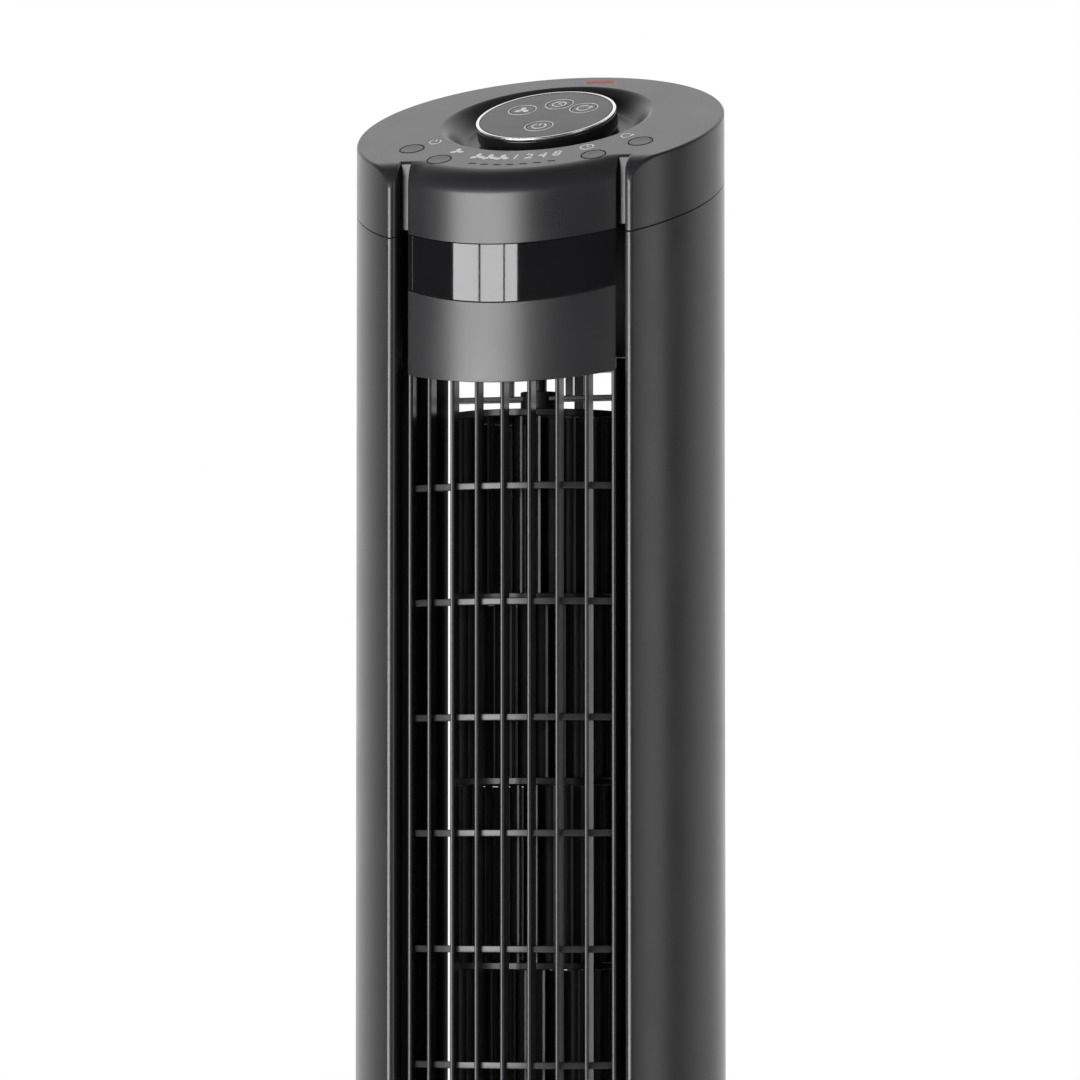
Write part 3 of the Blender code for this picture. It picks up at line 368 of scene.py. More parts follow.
def make_materials():
    looks = {}
    # ABS moulded in a spark-eroded tool: a fine satin grain.
    # It is drawn coarser than the real 0.1 mm so that it shows.
    made = new_material("charcoal ABS, spark-eroded satin", "#242426", 0.36, ior=1.52)
    looks["shell"] = textured(made, "#212123", "#262628", 30, 0.7, 0.010, (0.27, 0.35))
    # The same ABS from a smoother part of the tool.
    # The front mouldings take wider, brighter reflections.
    made = new_material("charcoal ABS, fine satin", "#262628", 0.36, ior=1.52)
    looks["grille"] = textured(made, "#222224", "#272729", 26, 0.6, 0.006, (0.31, 0.38))
    # Black ABS straight from the tool, unpolished.
    made = new_material("black ABS, as moulded", "#131314", 0.45, ior=1.52)
    looks["inside"] = textured(made, "#111112", "#171718", 22, 0.8, 0.010, (0.40, 0.52))
    # Cast acrylic tinted with smoke dye, polished: nearly a black mirror.
    made = new_material("smoked acrylic, polished", "#121214", 0.05, ior=1.49)
    looks["window"] = textured(made, "#101012", "#151517", 18, 2.0, 0.0006, (0.035, 0.07))
    made = new_material("charcoal ABS, button satin", "#202022", 0.38, ior=1.52)
    looks["button"] = textured(made, "#1E1E20", "#242426", 8, 0.5, 0.006, (0.34, 0.42))
    # Glass-filled plastic, glossy between the fibres.
    # Black ABS coloured darker than the other black mouldings: painted shade for the inside of the duct.
    # A high roughness and a low IOR keep its reflections dim as well.
    made = new_material("black ABS, darkened as painted shade", "#0A0A0A", 0.85, ior=1.3)
    looks["duct"] = textured(made, "#080808", "#0D0D0D", 20, 1.0, 0.020, (0.80, 0.92))
    # Black AS plastic: partly its own black, and partly painted shade, since it is set darker than the
    # other black mouldings for the dark inside of the duct.
    made = new_material("black AS plastic, moulded", "#0E0E0F", 0.42, ior=1.5)
    looks["impeller"] = textured(made, "#0C0C0D", "#121213", 15, 0.9, 0.008, (0.38, 0.48))
    made = new_material("clear polycarbonate light guide", "#2C2C2F", 0.15, ior=1.58)
    looks["lens"] = textured(made, "#262629", "#343437", 6, 0.8, 0.004, (0.12, 0.22))
    # Moulded nitrile rubber, matt with a dusty bloom.
    made = new_material("black nitrile rubber", "#1A1A1A", 0.8, ior=1.52)
    looks["rubber"] = textured(made, "#161616", "#222222", 9, 0.6, 0.020, (0.72, 0.88))
    made = new_material("natural nylon, moulded", "#D9D4C4", 0.4, ior=1.53)
    looks["nylon"] = textured(made, "#D2CCBA", "#E0DCCE", 12, 0.8, 0.008, (0.36, 0.48))
    # Zinc plating over pressed steel, faintly clouded.
    made = new_material("pressed steel, zinc plated", "#B9BBBE", 0.32, 1.0)
    looks["steel"] = textured(made, "#A9ABAF", "#C6C8CA", 11, 0.9, 0.006, (0.26, 0.40))
    # A stack of 0.5 mm sheets seen on edge, drawn as long level streaks.
    made = new_material("silicon steel laminations, varnished", "#7D7E80", 0.45, 1.0)
    looks["laminations"] = textured(
        made, "#5E5F61", "#939496", 14, 0.5, 0.03, (0.36, 0.5), (0.02, 0.02, 1)
    )
    made = new_material("sintered bronze", "#A67C48", 0.45, 1.0)
    looks["bronze"] = textured(made, "#8E6A3C", "#B98C54", 5, 0.3, 0.015, (0.38, 0.55))
    made = new_material("green solder-resist board", "#1E5A36", 0.4, ior=1.55)
    looks["board"] = textured(made, "#1A5130", "#24653F", 7, 0.5, 0.004, (0.32, 0.46))
    made = new_material("black ABS, semi gloss", "#121214", 0.25, ior=1.52)
    looks["remote"] = textured(made, "#101012", "#161618", 14, 0.6, 0.004, (0.20, 0.28))
    # Vacuum metallised plastic: a soft silver mirror.
    made = new_material("metallised ABS, satin silver", "#D4D5D8", 0.25, 1.0)
    looks["silver"] = textured(made, "#CBCCD0", "#DDDEE0", 9, 0.5, 0.002, (0.20, 0.30))
    # Printed polyester film with a fine matt back.
    made = new_material("grey polyester film, matt", "#3E3E40", 0.42, ior=1.5)
    looks["face"] = textured(made, "#3B3B3D", "#414143", 10, 0.4, 0.003, (0.38, 0.46))
    made = new_material("grey polyester film over a key", "#404042", 0.42, ior=1.5)
    looks["key"] = textured(made, "#3D3D3F", "#434345", 8, 0.4, 0.003, (0.36, 0.44))
    # Screen-printed ink stands a few hundredths of a millimetre proud.
    made = new_material("white screen ink", "#E8E8E6", 0.5)
    looks["white"] = textured(made, "#E0E0DE", "#F0F0EE", 3, 0.2, 0.004, (0.45, 0.6))
    made = new_material("red screen ink", "#C23A32", 0.5)
    looks["red"] = textured(made, "#B8352E", "#CC4038", 3, 0.2, 0.004, (0.45, 0.6))
    return looks


looks = make_materials()


def settle(piece, body, slot, *nodes, look=None):
    """Gives a finished piece its material, chosen by its slot unless a look is named, puts it under its
    body and hides the solids it stands for.
    """
    piece.data.materials.clear()
    piece.data.materials.append(looks[look or slot])
    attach(piece, body)
    if nodes:
        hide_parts(*nodes)
    return piece


def refined(name, source, body, slot, edge=0.0, angle=30, segments=2, look=None):
    """A copy of a solid, merged, with its hard edges rounded."""
    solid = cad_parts[source]
    piece = bpy.data.objects.new(name, solid.data.copy())
    bpy.context.scene.collection.objects.link(piece)
    pick(piece, "VERT", everything)
    bpy.ops.mesh.remove_doubles(threshold=2e-6)
    bpy.ops.mesh.select_all(action="SELECT")
    bpy.ops.mesh.dissolve_limited(angle_limit=math.radians(0.4))
    close()
    if edge:
        round_edges(piece, edge, segments, angle)
    smooth(piece, 40)
    return settle(piece, body, slot, source, look=look)


# Base


def build_base():
    top, rim, plateau, radius = 0.036, 0.015, 0.056, 0.120
    reach, rise = radius - plateau, top - rim
    outer = arc(reach, rise, 0.0, math.pi / 2, 18, (plateau, rim))
    inner = arc(reach - WALL, rise - WALL, math.pi / 2, 0.0, 12, (plateau, rim))
    profile = [(radius - 0.0012, 0.003), (radius - 0.0003, 0.0033), (radius, 0.0042)]
    profile += outer + [(0.0159, top), (0.0153, top - 0.0006), (0.0153, top - WALL)] + inner
    profile += [(radius - WALL, 0.003)]
    dome = spun("base_dome", profile, 128)
    recess = spun("recess", [(0.0, -0.0013), (0.0057, -0.0013), (0.0060, 0.004), (0.0, 0.004)], 40)
    bore = spun("bore", [(0.0, -0.01), (0.0043, -0.01), (0.0043, 0.01), (0.0, 0.01)], 40)
    for tool in (recess, bore):
        tool.matrix_world = Matrix.Translation((0, radius, 0.0098)) @ Matrix.Rotation(
            math.radians(-90), 4, "X"
        )
        bake_place(tool)
        carve(dome, tool)
    smooth(dome)
    settle(dome, "base", "shell", "base_shell")
    for i in range(4):
        turn = math.radians(45 + 90 * i)
        place = (0.098 * math.cos(turn), 0.098 * math.sin(turn))
        profile = [(0.0, 0.0), (0.0055, 0.0), (0.0060, 0.0006), (0.0066, 0.0006), (0.0072, 0.0)]
        profile += [(0.0083, 0.0001), (0.0089, 0.0007), (0.0090, 0.0027), (0.0, 0.0027)]
        foot = spun(f"rubber_foot_{i + 1}", profile, 40, place)
        smooth(foot)
        settle(foot, "base", "rubber", f"foot_{i + 1}")
    for name, edge in (("base_plate", 0.0004), ("ballast_plate", 0.0006)):
        slot = "inside" if name == "base_plate" else "steel"
        refined(f"{name}_pressed", name, "base", slot, edge)
    refined("hub", "pivot_hub", "base", "inside", 0.0004)
    refined("hub_gear", "swing_gear", "base", "nylon", 0.00015)
    refined("hub_ring", "hub_collar", "base", "steel", 0.0003)
    refined("glide", "glide_ring", "base", "nylon", 0.0003)
    refined("gland", "cord_gland", "base", "rubber", 0.0003)
    for i in (1, 2, 3):
        refined(f"base_screw_head_{i}", f"base_screw_{i}", "base", "steel", 0.0002)


# Tower


def oval_band(name, low, high, first, last):
    """A curved sheet on the tower's oval. Turns run from the front towards +X."""
    bpy.ops.mesh.primitive_circle_add(
        vertices=288, radius=1.0, fill_type="NOTHING", location=(0, 0, low)
    )
    piece = named(name)
    piece.scale = (HALF_WIDTH, HALF_DEPTH, 1.0)
    bake_place(piece)
    pick(piece, "EDGE", everything)
    bpy.ops.mesh.extrude_region_move(TRANSFORM_OT_translate={"value": (0, 0, high - low)})
    close()
    for turn, side in ((first, 1), (last, -1)):
        run = Vector((HALF_WIDTH * math.sin(turn), -HALF_DEPTH * math.cos(turn), 0.0))
        ahead = Vector((HALF_WIDTH * math.cos(turn), HALF_DEPTH * math.sin(turn), 0.0)) * side
        bisect(piece, run, ahead, above=True)
    return piece


def wing_edge(radius=WING_EDGE, steps=12):
    """The rounded front edge of the right-hand wing, from the oval round to the groove."""
    turn = math.asin(GROOVE_X / HALF_WIDTH)
    for _ in range(20):
        ahead = Vector((-HALF_WIDTH * math.cos(turn), -HALF_DEPTH * math.sin(turn))).normalized()
        turn = math.asin((GROOVE_X + radius * (1 - ahead.y)) / HALF_WIDTH)
    centre = (
        HALF_WIDTH * math.sin(turn) + radius * ahead.y,
        -HALF_DEPTH * math.cos(turn) - radius * ahead.x,
    )
    first = math.atan2(ahead.x, -ahead.y)
    return turn, arc(radius, radius, first, -math.pi, steps, centre)


def build_side_shells():
    front, edge = wing_edge()
    shell = oval_band("side_shell_right_moulding", TOWER_Z, 0.80, front, REAR_TURN)
    edge_y = min(v.co.y for v in shell.data.vertices)
    pick(shell, "EDGE", lambda e, c: abs(c.y - edge_y) < 1e-5 and upright(e))
    line = [*edge, (GROOVE_X, WING_BACK_Y)]
    for (ax, ay), (bx, by) in zip(line, line[1:]):
        bpy.ops.mesh.extrude_region_move(TRANSFORM_OT_translate={"value": (bx - ax, by - ay, 0)})
    close()
    bisect(shell, (0, 0, SEAM_Z - GAP), slant_normal(TOP_SLANT))
    outward_sheet(shell)
    modify(shell, "SOLIDIFY", thickness=WALL, offset=-1.0, use_even_offset=True)
    round_edges(shell, 0.00045, 3, 50)
    smooth(shell)
    left = mirrored(shell, "side_shell_left_moulding")
    smooth(left)
    settle(shell, "tower", "shell", "side_shell_right")
    settle(left, "tower", "shell", "side_shell_left")


def outward_sheet(piece):
    """Turns an open sheet's faces away from the tower's axis."""
    pick(piece, "FACE", everything)
    bpy.ops.mesh.normals_make_consistent(inside=False)
    close()
    leaning = sum(p.area * p.normal.dot((p.center.x, p.center.y, 0.0)) for p in piece.data.polygons)
    if leaning < 0:
        pick(piece, "FACE", everything)
        bpy.ops.mesh.flip_normals()
        close()


def build_rear_grille():
    start = REAR_TURN + GAP / HALF_DEPTH
    end = math.tau - start
    grille = oval_band("rear_grille_moulding", TOWER_Z, 0.80, start, end)
    pitch, slat, low, slots = 0.0087, 0.0016, 0.2160, 48
    for i in range(slots):
        for z in (low + i * pitch, low + (i + 1) * pitch - slat):
            pick(grille, "FACE", everything)
            bpy.ops.mesh.bisect(plane_co=(0, 0, z), plane_no=(0, 0, 1), threshold=1e-7)
            close()
    post = 0.0022
    edge_x = max(v.co.x for v in grille.data.vertices)
    for x in (-edge_x + post, -post, post, edge_x - post):
        pick(grille, "FACE", everything)
        bpy.ops.mesh.bisect(plane_co=(x, 0, 0), plane_no=(1, 0, 0), threshold=1e-7)
        close()

    def open_slot(face, centre):
        row = (centre.z - low) / pitch
        tall = max(v.co.z for v in face.verts) - min(v.co.z for v in face.verts)
        in_row = 0 < row < slots and tall > slat * 1.2 and tall < pitch
        return in_row and post < abs(centre.x) < edge_x - post

    pick(grille, "FACE", open_slot)
    bpy.ops.mesh.delete(type="FACE")
    close()
    bisect(grille, (0, 0, SEAM_Z - GAP), slant_normal(TOP_SLANT))
    outward_sheet(grille)
    modify(grille, "SOLIDIFY", thickness=WALL, offset=-1.0, use_even_offset=True)
    screw_holes(grille)
    round_edges(grille, 0.0005, 2, 50)
    smooth(grille, weighted=False)
    settle(grille, "tower", "inside", "rear_grille")


def screw_holes(piece):
    for z in REAR_SCREW_HEIGHTS:
        hole = spun("hole", [(0.0, -0.02), (0.0018, -0.02), (0.0018, 0.02), (0.0, 0.02)], 24)
        hole.matrix_world = Matrix.Translation((0, HALF_DEPTH, z)) @ Matrix.Rotation(
            math.radians(-90), 4, "X"
        )
        bake_place(hole)
        carve(piece, hole)


def build_rear_screws():
    for i, z in enumerate(REAR_SCREW_HEIGHTS, 1):
        profile = [(0.0, -0.010), (0.0013, -0.010), (0.0015, -0.009), (0.0015, 0.0004)]
        profile += [(0.0033, 0.0004), (0.0034, 0.0006), (0.0032, 0.0012), (0.0022, 0.0017)]
        profile += [(0.0, 0.0020)]
        screw = spun(f"rear_screw_head_{i}", profile, 32)
        for turn in (0.0, 90.0):
            bpy.ops.mesh.primitive_cube_add(size=1.0, scale=(0.0034, 0.0007, 0.0022))
            blade = named("cross")
            blade.location.z = 0.0019
            blade.rotation_euler.z = math.radians(turn + 20)
            bake_place(blade)
            carve(screw, blade)
        screw.matrix_world = Matrix.Translation((0, HALF_DEPTH, z)) @ Matrix.Rotation(
            math.radians(-90), 4, "X"
        )
        bake_place(screw)
        smooth(screw)
        settle(screw, "tower", "steel", f"rear_screw_{i}")


def front_sheet(name, low, high, half=FRONT_HALF, inset=0.0, vertices=480):
    """An upright sheet that follows the inset front."""
    bpy.ops.mesh.primitive_circle_add(
        vertices=vertices,
        radius=FRONT_RADIUS - inset,
        fill_type="NOTHING",
        location=(0, FRONT_CENTRE, low),
    )
    piece = named(name)
    bake_place(piece)
    pick(piece, "EDGE", everything)
    bpy.ops.mesh.extrude_region_move(TRANSFORM_OT_translate={"value": (0, 0, high - low)})
    close()
    bisect(piece, (half, 0, 0), (1, 0, 0))
    bisect(piece, (-half, 0, 0), (-1, 0, 0))
    bisect(piece, (0, 0, 0), (0, 1, 0))
    return piece


def thicken(piece, thickness):
    outward_sheet(piece)
    modify(piece, "SOLIDIFY", thickness=thickness, offset=-1.0, use_even_offset=True)


def build_front():
    window = front_sheet("display_window_strip", 0.6, 0.75)
    bisect(window, (0, 0, WINDOW_Z), slant_normal(WINDOW_SLANT), above=True)
    bisect(window, (0, 0, SEAM_Z - GAP), slant_normal(TOP_SLANT))
    thicken(window, WALL)
    round_edges(window, 0.0003, 3, 50)
    smooth(window)
    settle(window, "tower", "window", "display_window")

    panel = front_sheet("lower_front_moulding", TOWER_Z, GRILLE_Z - GAP)
    thicken(panel, WALL)
    round_edges(panel, 0.0005, 3, 50)
    smooth(panel)
    settle(panel, "tower", "grille", "lower_front_panel")
    build_grille()


def front_y(x, inset=0.0):
    return FRONT_CENTRE - math.sqrt((FRONT_RADIUS - inset) ** 2 - x * x)


def upright_bar(name, x, width, depth, low, high):
    """One bar with a rounded nose that follows the front, and a slight draft behind."""
    half = width / 2
    nose = arc(half, half * 0.9, math.pi, math.tau, 6, (x, front_y(x) + half * 0.9))
    points = [(px, py + BAR_INSET, low) for px, py in nose]
    back, heel = front_y(x) + depth, half * 0.72
    points += [(x + heel, back, low), (x - heel, back, low)]
    bar = draw(name, points, closed=True)
    return extruded(bar, (0, 0, high - low))


def build_grille():
    band = front_sheet("band", 0.6, 0.75)
    bisect(band, (0, 0, BAND_Z), slant_normal(BAND_SLANT), above=True)
    bisect(band, (0, 0, WINDOW_Z - GAP), slant_normal(WINDOW_SLANT))
    thicken(band, WALL)
    round_edges(band, 0.0005, 3, 50)
    pieces = [band]
    slope = math.tan(BAND_SLANT)
    for i in range(7):
        x = (i - 3) * 0.0118
        high = BAND_Z + front_y(x) * slope + 0.0012
        pieces.append(upright_bar(f"bar_{i}", x, 0.0018, 0.009, GRILLE_Z, high))
    for side in (-1, 1):
        x = side * (FRONT_HALF - 0.0011)
        high = BAND_Z + front_y(x) * slope + 0.0012
        pieces.append(upright_bar(f"frame_{side}", x, 0.0022, 0.008, GRILLE_Z, high))
    for i in range(8):
        z = RIB_TOP_Z - i * RIB_PITCH
        rib = front_sheet(f"rib_{i}", z - 0.0015, z + 0.0015, 0.0463, 0.0035, 240)
        thicken(rib, 0.004)
        round_edges(rib, 0.0005, 2, 50)
        pieces.append(rib)
    sill = front_sheet("sill", GRILLE_Z, GRILLE_Z + 0.008, FRONT_HALF - 0.0002, 0.0004, 240)
    thicken(sill, 0.0042)
    round_edges(sill, 0.0005, 2, 50)
    pieces.append(sill)
    grille = joined("front_grille_moulding", pieces)
    smooth(grille)
    settle(grille, "tower", "grille", "front_grille")


def build_tower_foot():
    bpy.ops.mesh.primitive_cylinder_add(vertices=192, radius=1.0, depth=0.003, location=(0, 0, 0.0499))
    foot = named("tower_foot_moulding")
    foot.scale = (HALF_WIDTH - 0.0006, HALF_DEPTH - 0.0006, 1.0)
    bake_place(foot)
    profile = [(0.0, 0.0385), (0.0492, 0.0385), (0.0499, 0.0391), (0.0500, 0.0400)]
    profile += [(0.0500, 0.0460), (0.0506, 0.0474), (0.0520, 0.0486), (0.0520, 0.0495), (0.0, 0.0495)]
    carve(foot, spun("neck", profile, 128), "UNION")
    carve(foot, spun("way", [(0.0, 0.0), (0.0153, 0.0), (0.0153, 0.1), (0.0, 0.1)], 64))
    round_edges(foot, 0.0005, 3, 60)
    smooth(foot)
    settle(foot, "tower", "shell", "tower_foot")


# Top cap


def cap_body():
    """The cap's outside: an oval block with a crisp rim, then let down to the slant and front roll."""
    tall, radius, slope = 0.05, 0.0145, math.tan(TOP_SLANT)
    first, edge = wing_edge()
    oval = arc(HALF_WIDTH, HALF_DEPTH, first - math.pi / 2, 1.5 * math.pi - first, 240)
    points = [(x, y, 0.0) for x, y in oval]
    points += [(-x, y, 0.0) for x, y in edge[1:]]
    points += [(-GROOVE_X, GROOVE_END_Y, 0.0), (GROOVE_X, GROOVE_END_Y, 0.0)]
    points += [(x, y, 0.0) for x, y in edge[:0:-1]]
    cap = extruded(draw("top_cap_moulding", points, closed=True), (0, 0, tall))
    outward(cap)
    pick(
        cap,
        "EDGE",
        lambda e, c: c.z > tall - 1e-6
        and len(e.link_faces) == 2
        and e.calc_face_angle(0.0) > 1.0
        and abs(c.y - GROOVE_END_Y) > 1e-4,
    )
    bpy.ops.mesh.bevel(offset=0.0012, segments=5, affect="EDGES", clamp_overlap=False)
    close()
    start = min(v.co.y for v in cap.data.vertices) - 0.0001
    centre = start + radius
    for i in range(17):
        turn = TOP_SLANT + (math.pi / 2 - TOP_SLANT) * i / 16
        pick(cap, "FACE", everything)
        bpy.ops.mesh.bisect(
            plane_co=(0, centre - radius * math.sin(turn), 0), plane_no=(0, 1, 0), threshold=1e-7
        )
        close()
    tangent = centre - radius * math.sin(TOP_SLANT)
    middle_z = TOP_Z + tangent * slope - radius * math.cos(TOP_SLANT)
    for vert in cap.data.vertices:
        x, y, z = vert.co
        if z < tall / 2:
            vert.co.z = SEAM_Z + y * slope
        elif y > tangent:
            vert.co.z = TOP_Z + y * slope + z - tall
        else:
            reach = min(centre - y, radius)
            vert.co.z = middle_z + math.sqrt(radius**2 - reach**2) + z - tall
    return cap


def cap_insert():
    """The cap's middle, in line with the inset front, with its front edge rolled over."""
    front = [(FRONT_HALF * (2 * i / 48 - 1)) for i in range(49)]
    points = [(x, front_y(x), 0.66) for x in front]
    points += [(FRONT_HALF, INSERT_BACK_Y, 0.66), (-FRONT_HALF, INSERT_BACK_Y, 0.66)]
    insert = extruded(draw("insert", points, closed=True), (0, 0, 0.12))
    outward(insert)
    bisect(insert, (0, 0, SEAM_Z), slant_normal(TOP_SLANT), above=True, fill=True)
    bisect(insert, (0, 0, TOP_Z - 0.000005), slant_normal(TOP_SLANT), fill=True)
    slope = math.tan(TOP_SLANT)
    pick(
        insert,
        "EDGE",
        lambda e, c: c.z - c.y * slope > TOP_Z - 0.0002
        and c.y < -0.0400
        and abs(e.verts[0].co.x - e.verts[1].co.x) > 0.0005,
    )
    bpy.ops.mesh.bevel(offset=0.0085, segments=12, affect="EDGES", clamp_overlap=False)
    close()
    return insert


def dish_tool(grow, deep, name):
    """The bowl for the remote, as a tool: it leaves the top in a soft curve and lands in another."""
    steps = 16
    profile = [(0.0, -deep)]
    for i in range(steps, -1, -1):
        t = i / steps
        down = deep * (1 - math.cos(math.pi * t)) / 2
        profile.append((0.0480 + grow - 0.0120 * t, 0.00004 - down))
    profile += [(0.0481 + grow, 0.004), (0.0, 0.004)]
    tool = spun(name, profile, 144)
    tool.scale.y = 42.0 / 47.5
    bake_place(tool)
    return on_top(tool, (0.0, 0.0114, 0.0))


def build_cap():
    cap = cap_body()
    carve(cap, cap_insert(), "UNION")
    bpy.ops.mesh.primitive_cylinder_add(vertices=192, radius=1.0, depth=0.2, location=(0, 0, 0.70))
    cavity = named("cavity")
    cavity.scale = (HALF_WIDTH - WALL, HALF_DEPTH - WALL, 1.0)
    bake_place(cavity)
    step_y = -0.0335
    bpy.ops.mesh.primitive_cube_add(size=1.0, location=(0, -0.05 + step_y, 0.7), scale=(0.12, 0.1, 0.3))
    front = named("front")
    bake_place(front)
    carve(cavity, front)
    bisect(cavity, (0, 0, TOP_Z - 0.0027 / math.cos(TOP_SLANT)), slant_normal(TOP_SLANT), fill=True)
    carve(cavity, dish_tool(0.0027, 0.0105, "dish_outside"))
    carve(cap, cavity)
    carve(cap, dish_tool(0.0, 0.0078, "dish_hollow"))
    for x, s in light_places():
        bpy.ops.mesh.primitive_cube_add(size=1.0, scale=(0.0036, 0.0012, 0.02))
        slot = named("slot")
        bake_place(slot)
        pick(slot, "EDGE", lambda e, c: upright(e))
        bpy.ops.mesh.bevel(offset=0.0005, segments=4, affect="EDGES")
        close()
        carve(cap, on_top(slot, (x, s, 0.0)))
    for x, s in BUTTON_PLACES.values():
        r = 0.0055
        profile = [(0.0, -0.006), (r, -0.006), (r, -0.0005), (r + 0.0001, -0.0002)]
        profile += [(r + 0.0004, 0.0), (r + 0.0006, 0.002), (0.0, 0.002)]
        carve(cap, on_top(spun("button_hole", profile, 64), (x, s, 0.0)))
    smooth(cap, 40)
    settle(cap, "tower", "shell", "top_cap")


def light_places():
    xs = [(i - 3) * 0.00595 for i in range(7)]
    return [(x, -0.048 + 9.4 * x * x) for x in xs]


def build_buttons():
    for name, (x, s) in BUTTON_PLACES.items():
        r = 0.0052
        profile = [(0.0, -0.0077), (0.002, -0.0077), (0.002, -0.0042), (0.0063, -0.0042)]
        profile += [(0.0063, -0.0031), (r, -0.0031), (r, -0.0005)]
        profile += [(r - 0.0001, -0.0002), (r - 0.0004, 0.0), (0.0036, -0.00005), (0.0, -0.0002)]
        button = on_top(spun(f"{name}_push_button", profile, 64), (x, s, 0.0))
        smooth(button)
        settle(button, f"{name}_button", "button", f"{name}_button")


# Prints


def ribbon(name, points, width, closed=False, tall=0.00005):
    """A flat stroke along a line of (x, y) points."""
    line = [Vector(p) for p in points]
    count = len(line)
    left, right = [], []
    for i, point in enumerate(line):
        ahead = line[(i + 1) % count] if closed else line[min(i + 1, count - 1)]
        behind = line[i - 1] if closed or i else line[0]
        run = (ahead - behind).normalized()
        across = Vector((-run.y, run.x)) * width / 2
        left.append(point + across)
        right.append(point - across)
    bm = bmesh.new()
    sides = [[bm.verts.new((*p, 0.0)) for p in side] for side in (left, right)]
    for i in range(count if closed else count - 1):
        j = (i + 1) % count
        bm.faces.new((sides[0][i], sides[1][i], sides[1][j], sides[0][j]))
    mesh = bpy.data.meshes.new(name)
    bm.to_mesh(mesh)
    bm.free()
    piece = bpy.data.objects.new(name, mesh)
    bpy.context.scene.collection.objects.link(piece)
    return extruded(piece, (0, 0, tall))


def ring(radius, width, start=0.0, end=math.tau, steps=48):
    whole = end - start > math.tau - 1e-6
    points = arc(radius, radius, start, end, steps)
    return ribbon("ring", points[:-1] if whole else points, width, closed=whole)


def filled(points, tall=0.00005):
    piece = draw("shape", [(x, y, 0.0) for x, y in points], closed=True)
    return extruded(piece, (0, 0, tall))


def power_mark(size):
    gap = math.radians(32)
    top = math.pi / 2
    return [
        ring(size, size * 0.24, top + gap, top + math.tau - gap),
        ribbon("stroke", [(0, size * 0.25), (0, size * 1.15)], size * 0.24),
    ]


def fan_mark(size):
    shapes = []
    for i in range(3):
        turn = math.radians(90 + 120 * i)
        blade = arc(size * 0.52, size * 0.36, 0.0, math.tau * 19 / 20, 19, (size * 0.55, 0.0))
        c, s = math.cos(turn), math.sin(turn)
        shapes.append(filled([(x * c - y * s, x * s + y * c) for x, y in blade]))
    return shapes


def clock_mark(size):
    hands = [(0, size * 0.62), (0, 0), (size * 0.45, 0)]
    return [ring(size, size * 0.22), ribbon("hands", hands, size * 0.2)]


def swing_mark(size):
    start, end = math.radians(60), math.radians(370)
    tip = math.radians(370)
    x, y = size * math.cos(tip), size * math.sin(tip)
    arrow = [(x - size * 0.45, y), (x + size * 0.45, y), (x + size * 0.1, y + size * 0.6)]
    return [ring(size, size * 0.22, start, end), filled(arrow)]


MARKS = {"power": power_mark, "mode": fan_mark, "timer": clock_mark, "swing": swing_mark}


def printed(name, shapes, place, body, slot="shell", look="white"):
    piece = joined(name, shapes) if len(shapes) > 1 else shapes[0]
    piece.name = name
    on_top(piece, place)
    return settle(piece, body, slot, look=look)


def digits(text, height, place):
    bpy.ops.object.text_add()
    words = bpy.context.active_object
    words.data.body = text
    words.data.size = height / 0.7
    words.data.align_x = "CENTER"
    words.data.extrude = 0.000025
    words.data.resolution_u = 6
    only(words)
    bpy.ops.object.convert(target="MESH")
    words = bpy.context.active_object
    words.location = place
    bake_place(words)
    return words


def build_prints():
    lift = 0.00002
    places = {
        "power": (-0.0436, -0.0152, 0.0026),
        "mode": (-0.0294, -0.0285, 0.0031),
        "timer": (0.0294, -0.0285, 0.0029),
        "swing": (0.0436, -0.0152, 0.0024),
    }
    for name, (x, s, size) in places.items():
        printed(f"{name}_mark", MARKS[name](size), (x, s, lift), "tower")
    row = light_places()
    shapes = []
    for x, s in row[:3]:
        for shape in fan_mark(0.0034):
            shape.location = (x, s + 0.0088, 0)
            bake_place(shape)
            shapes.append(shape)
    for (x, s), text in zip(row[3:], "1248"):
        shapes.append(digits(text, 0.0060, (x, s + 0.0068, 0)))
    printed("setting_marks", shapes, (0, 0, lift), "tower")
    badge = [(-0.0060, -0.0014), (0.0066, -0.0014), (0.0060, 0.0014), (-0.0066, 0.0014)]
    printed("red_mark", [filled(badge)], (0.0114, 0.0585, lift), "tower", look="red")


# Remote control


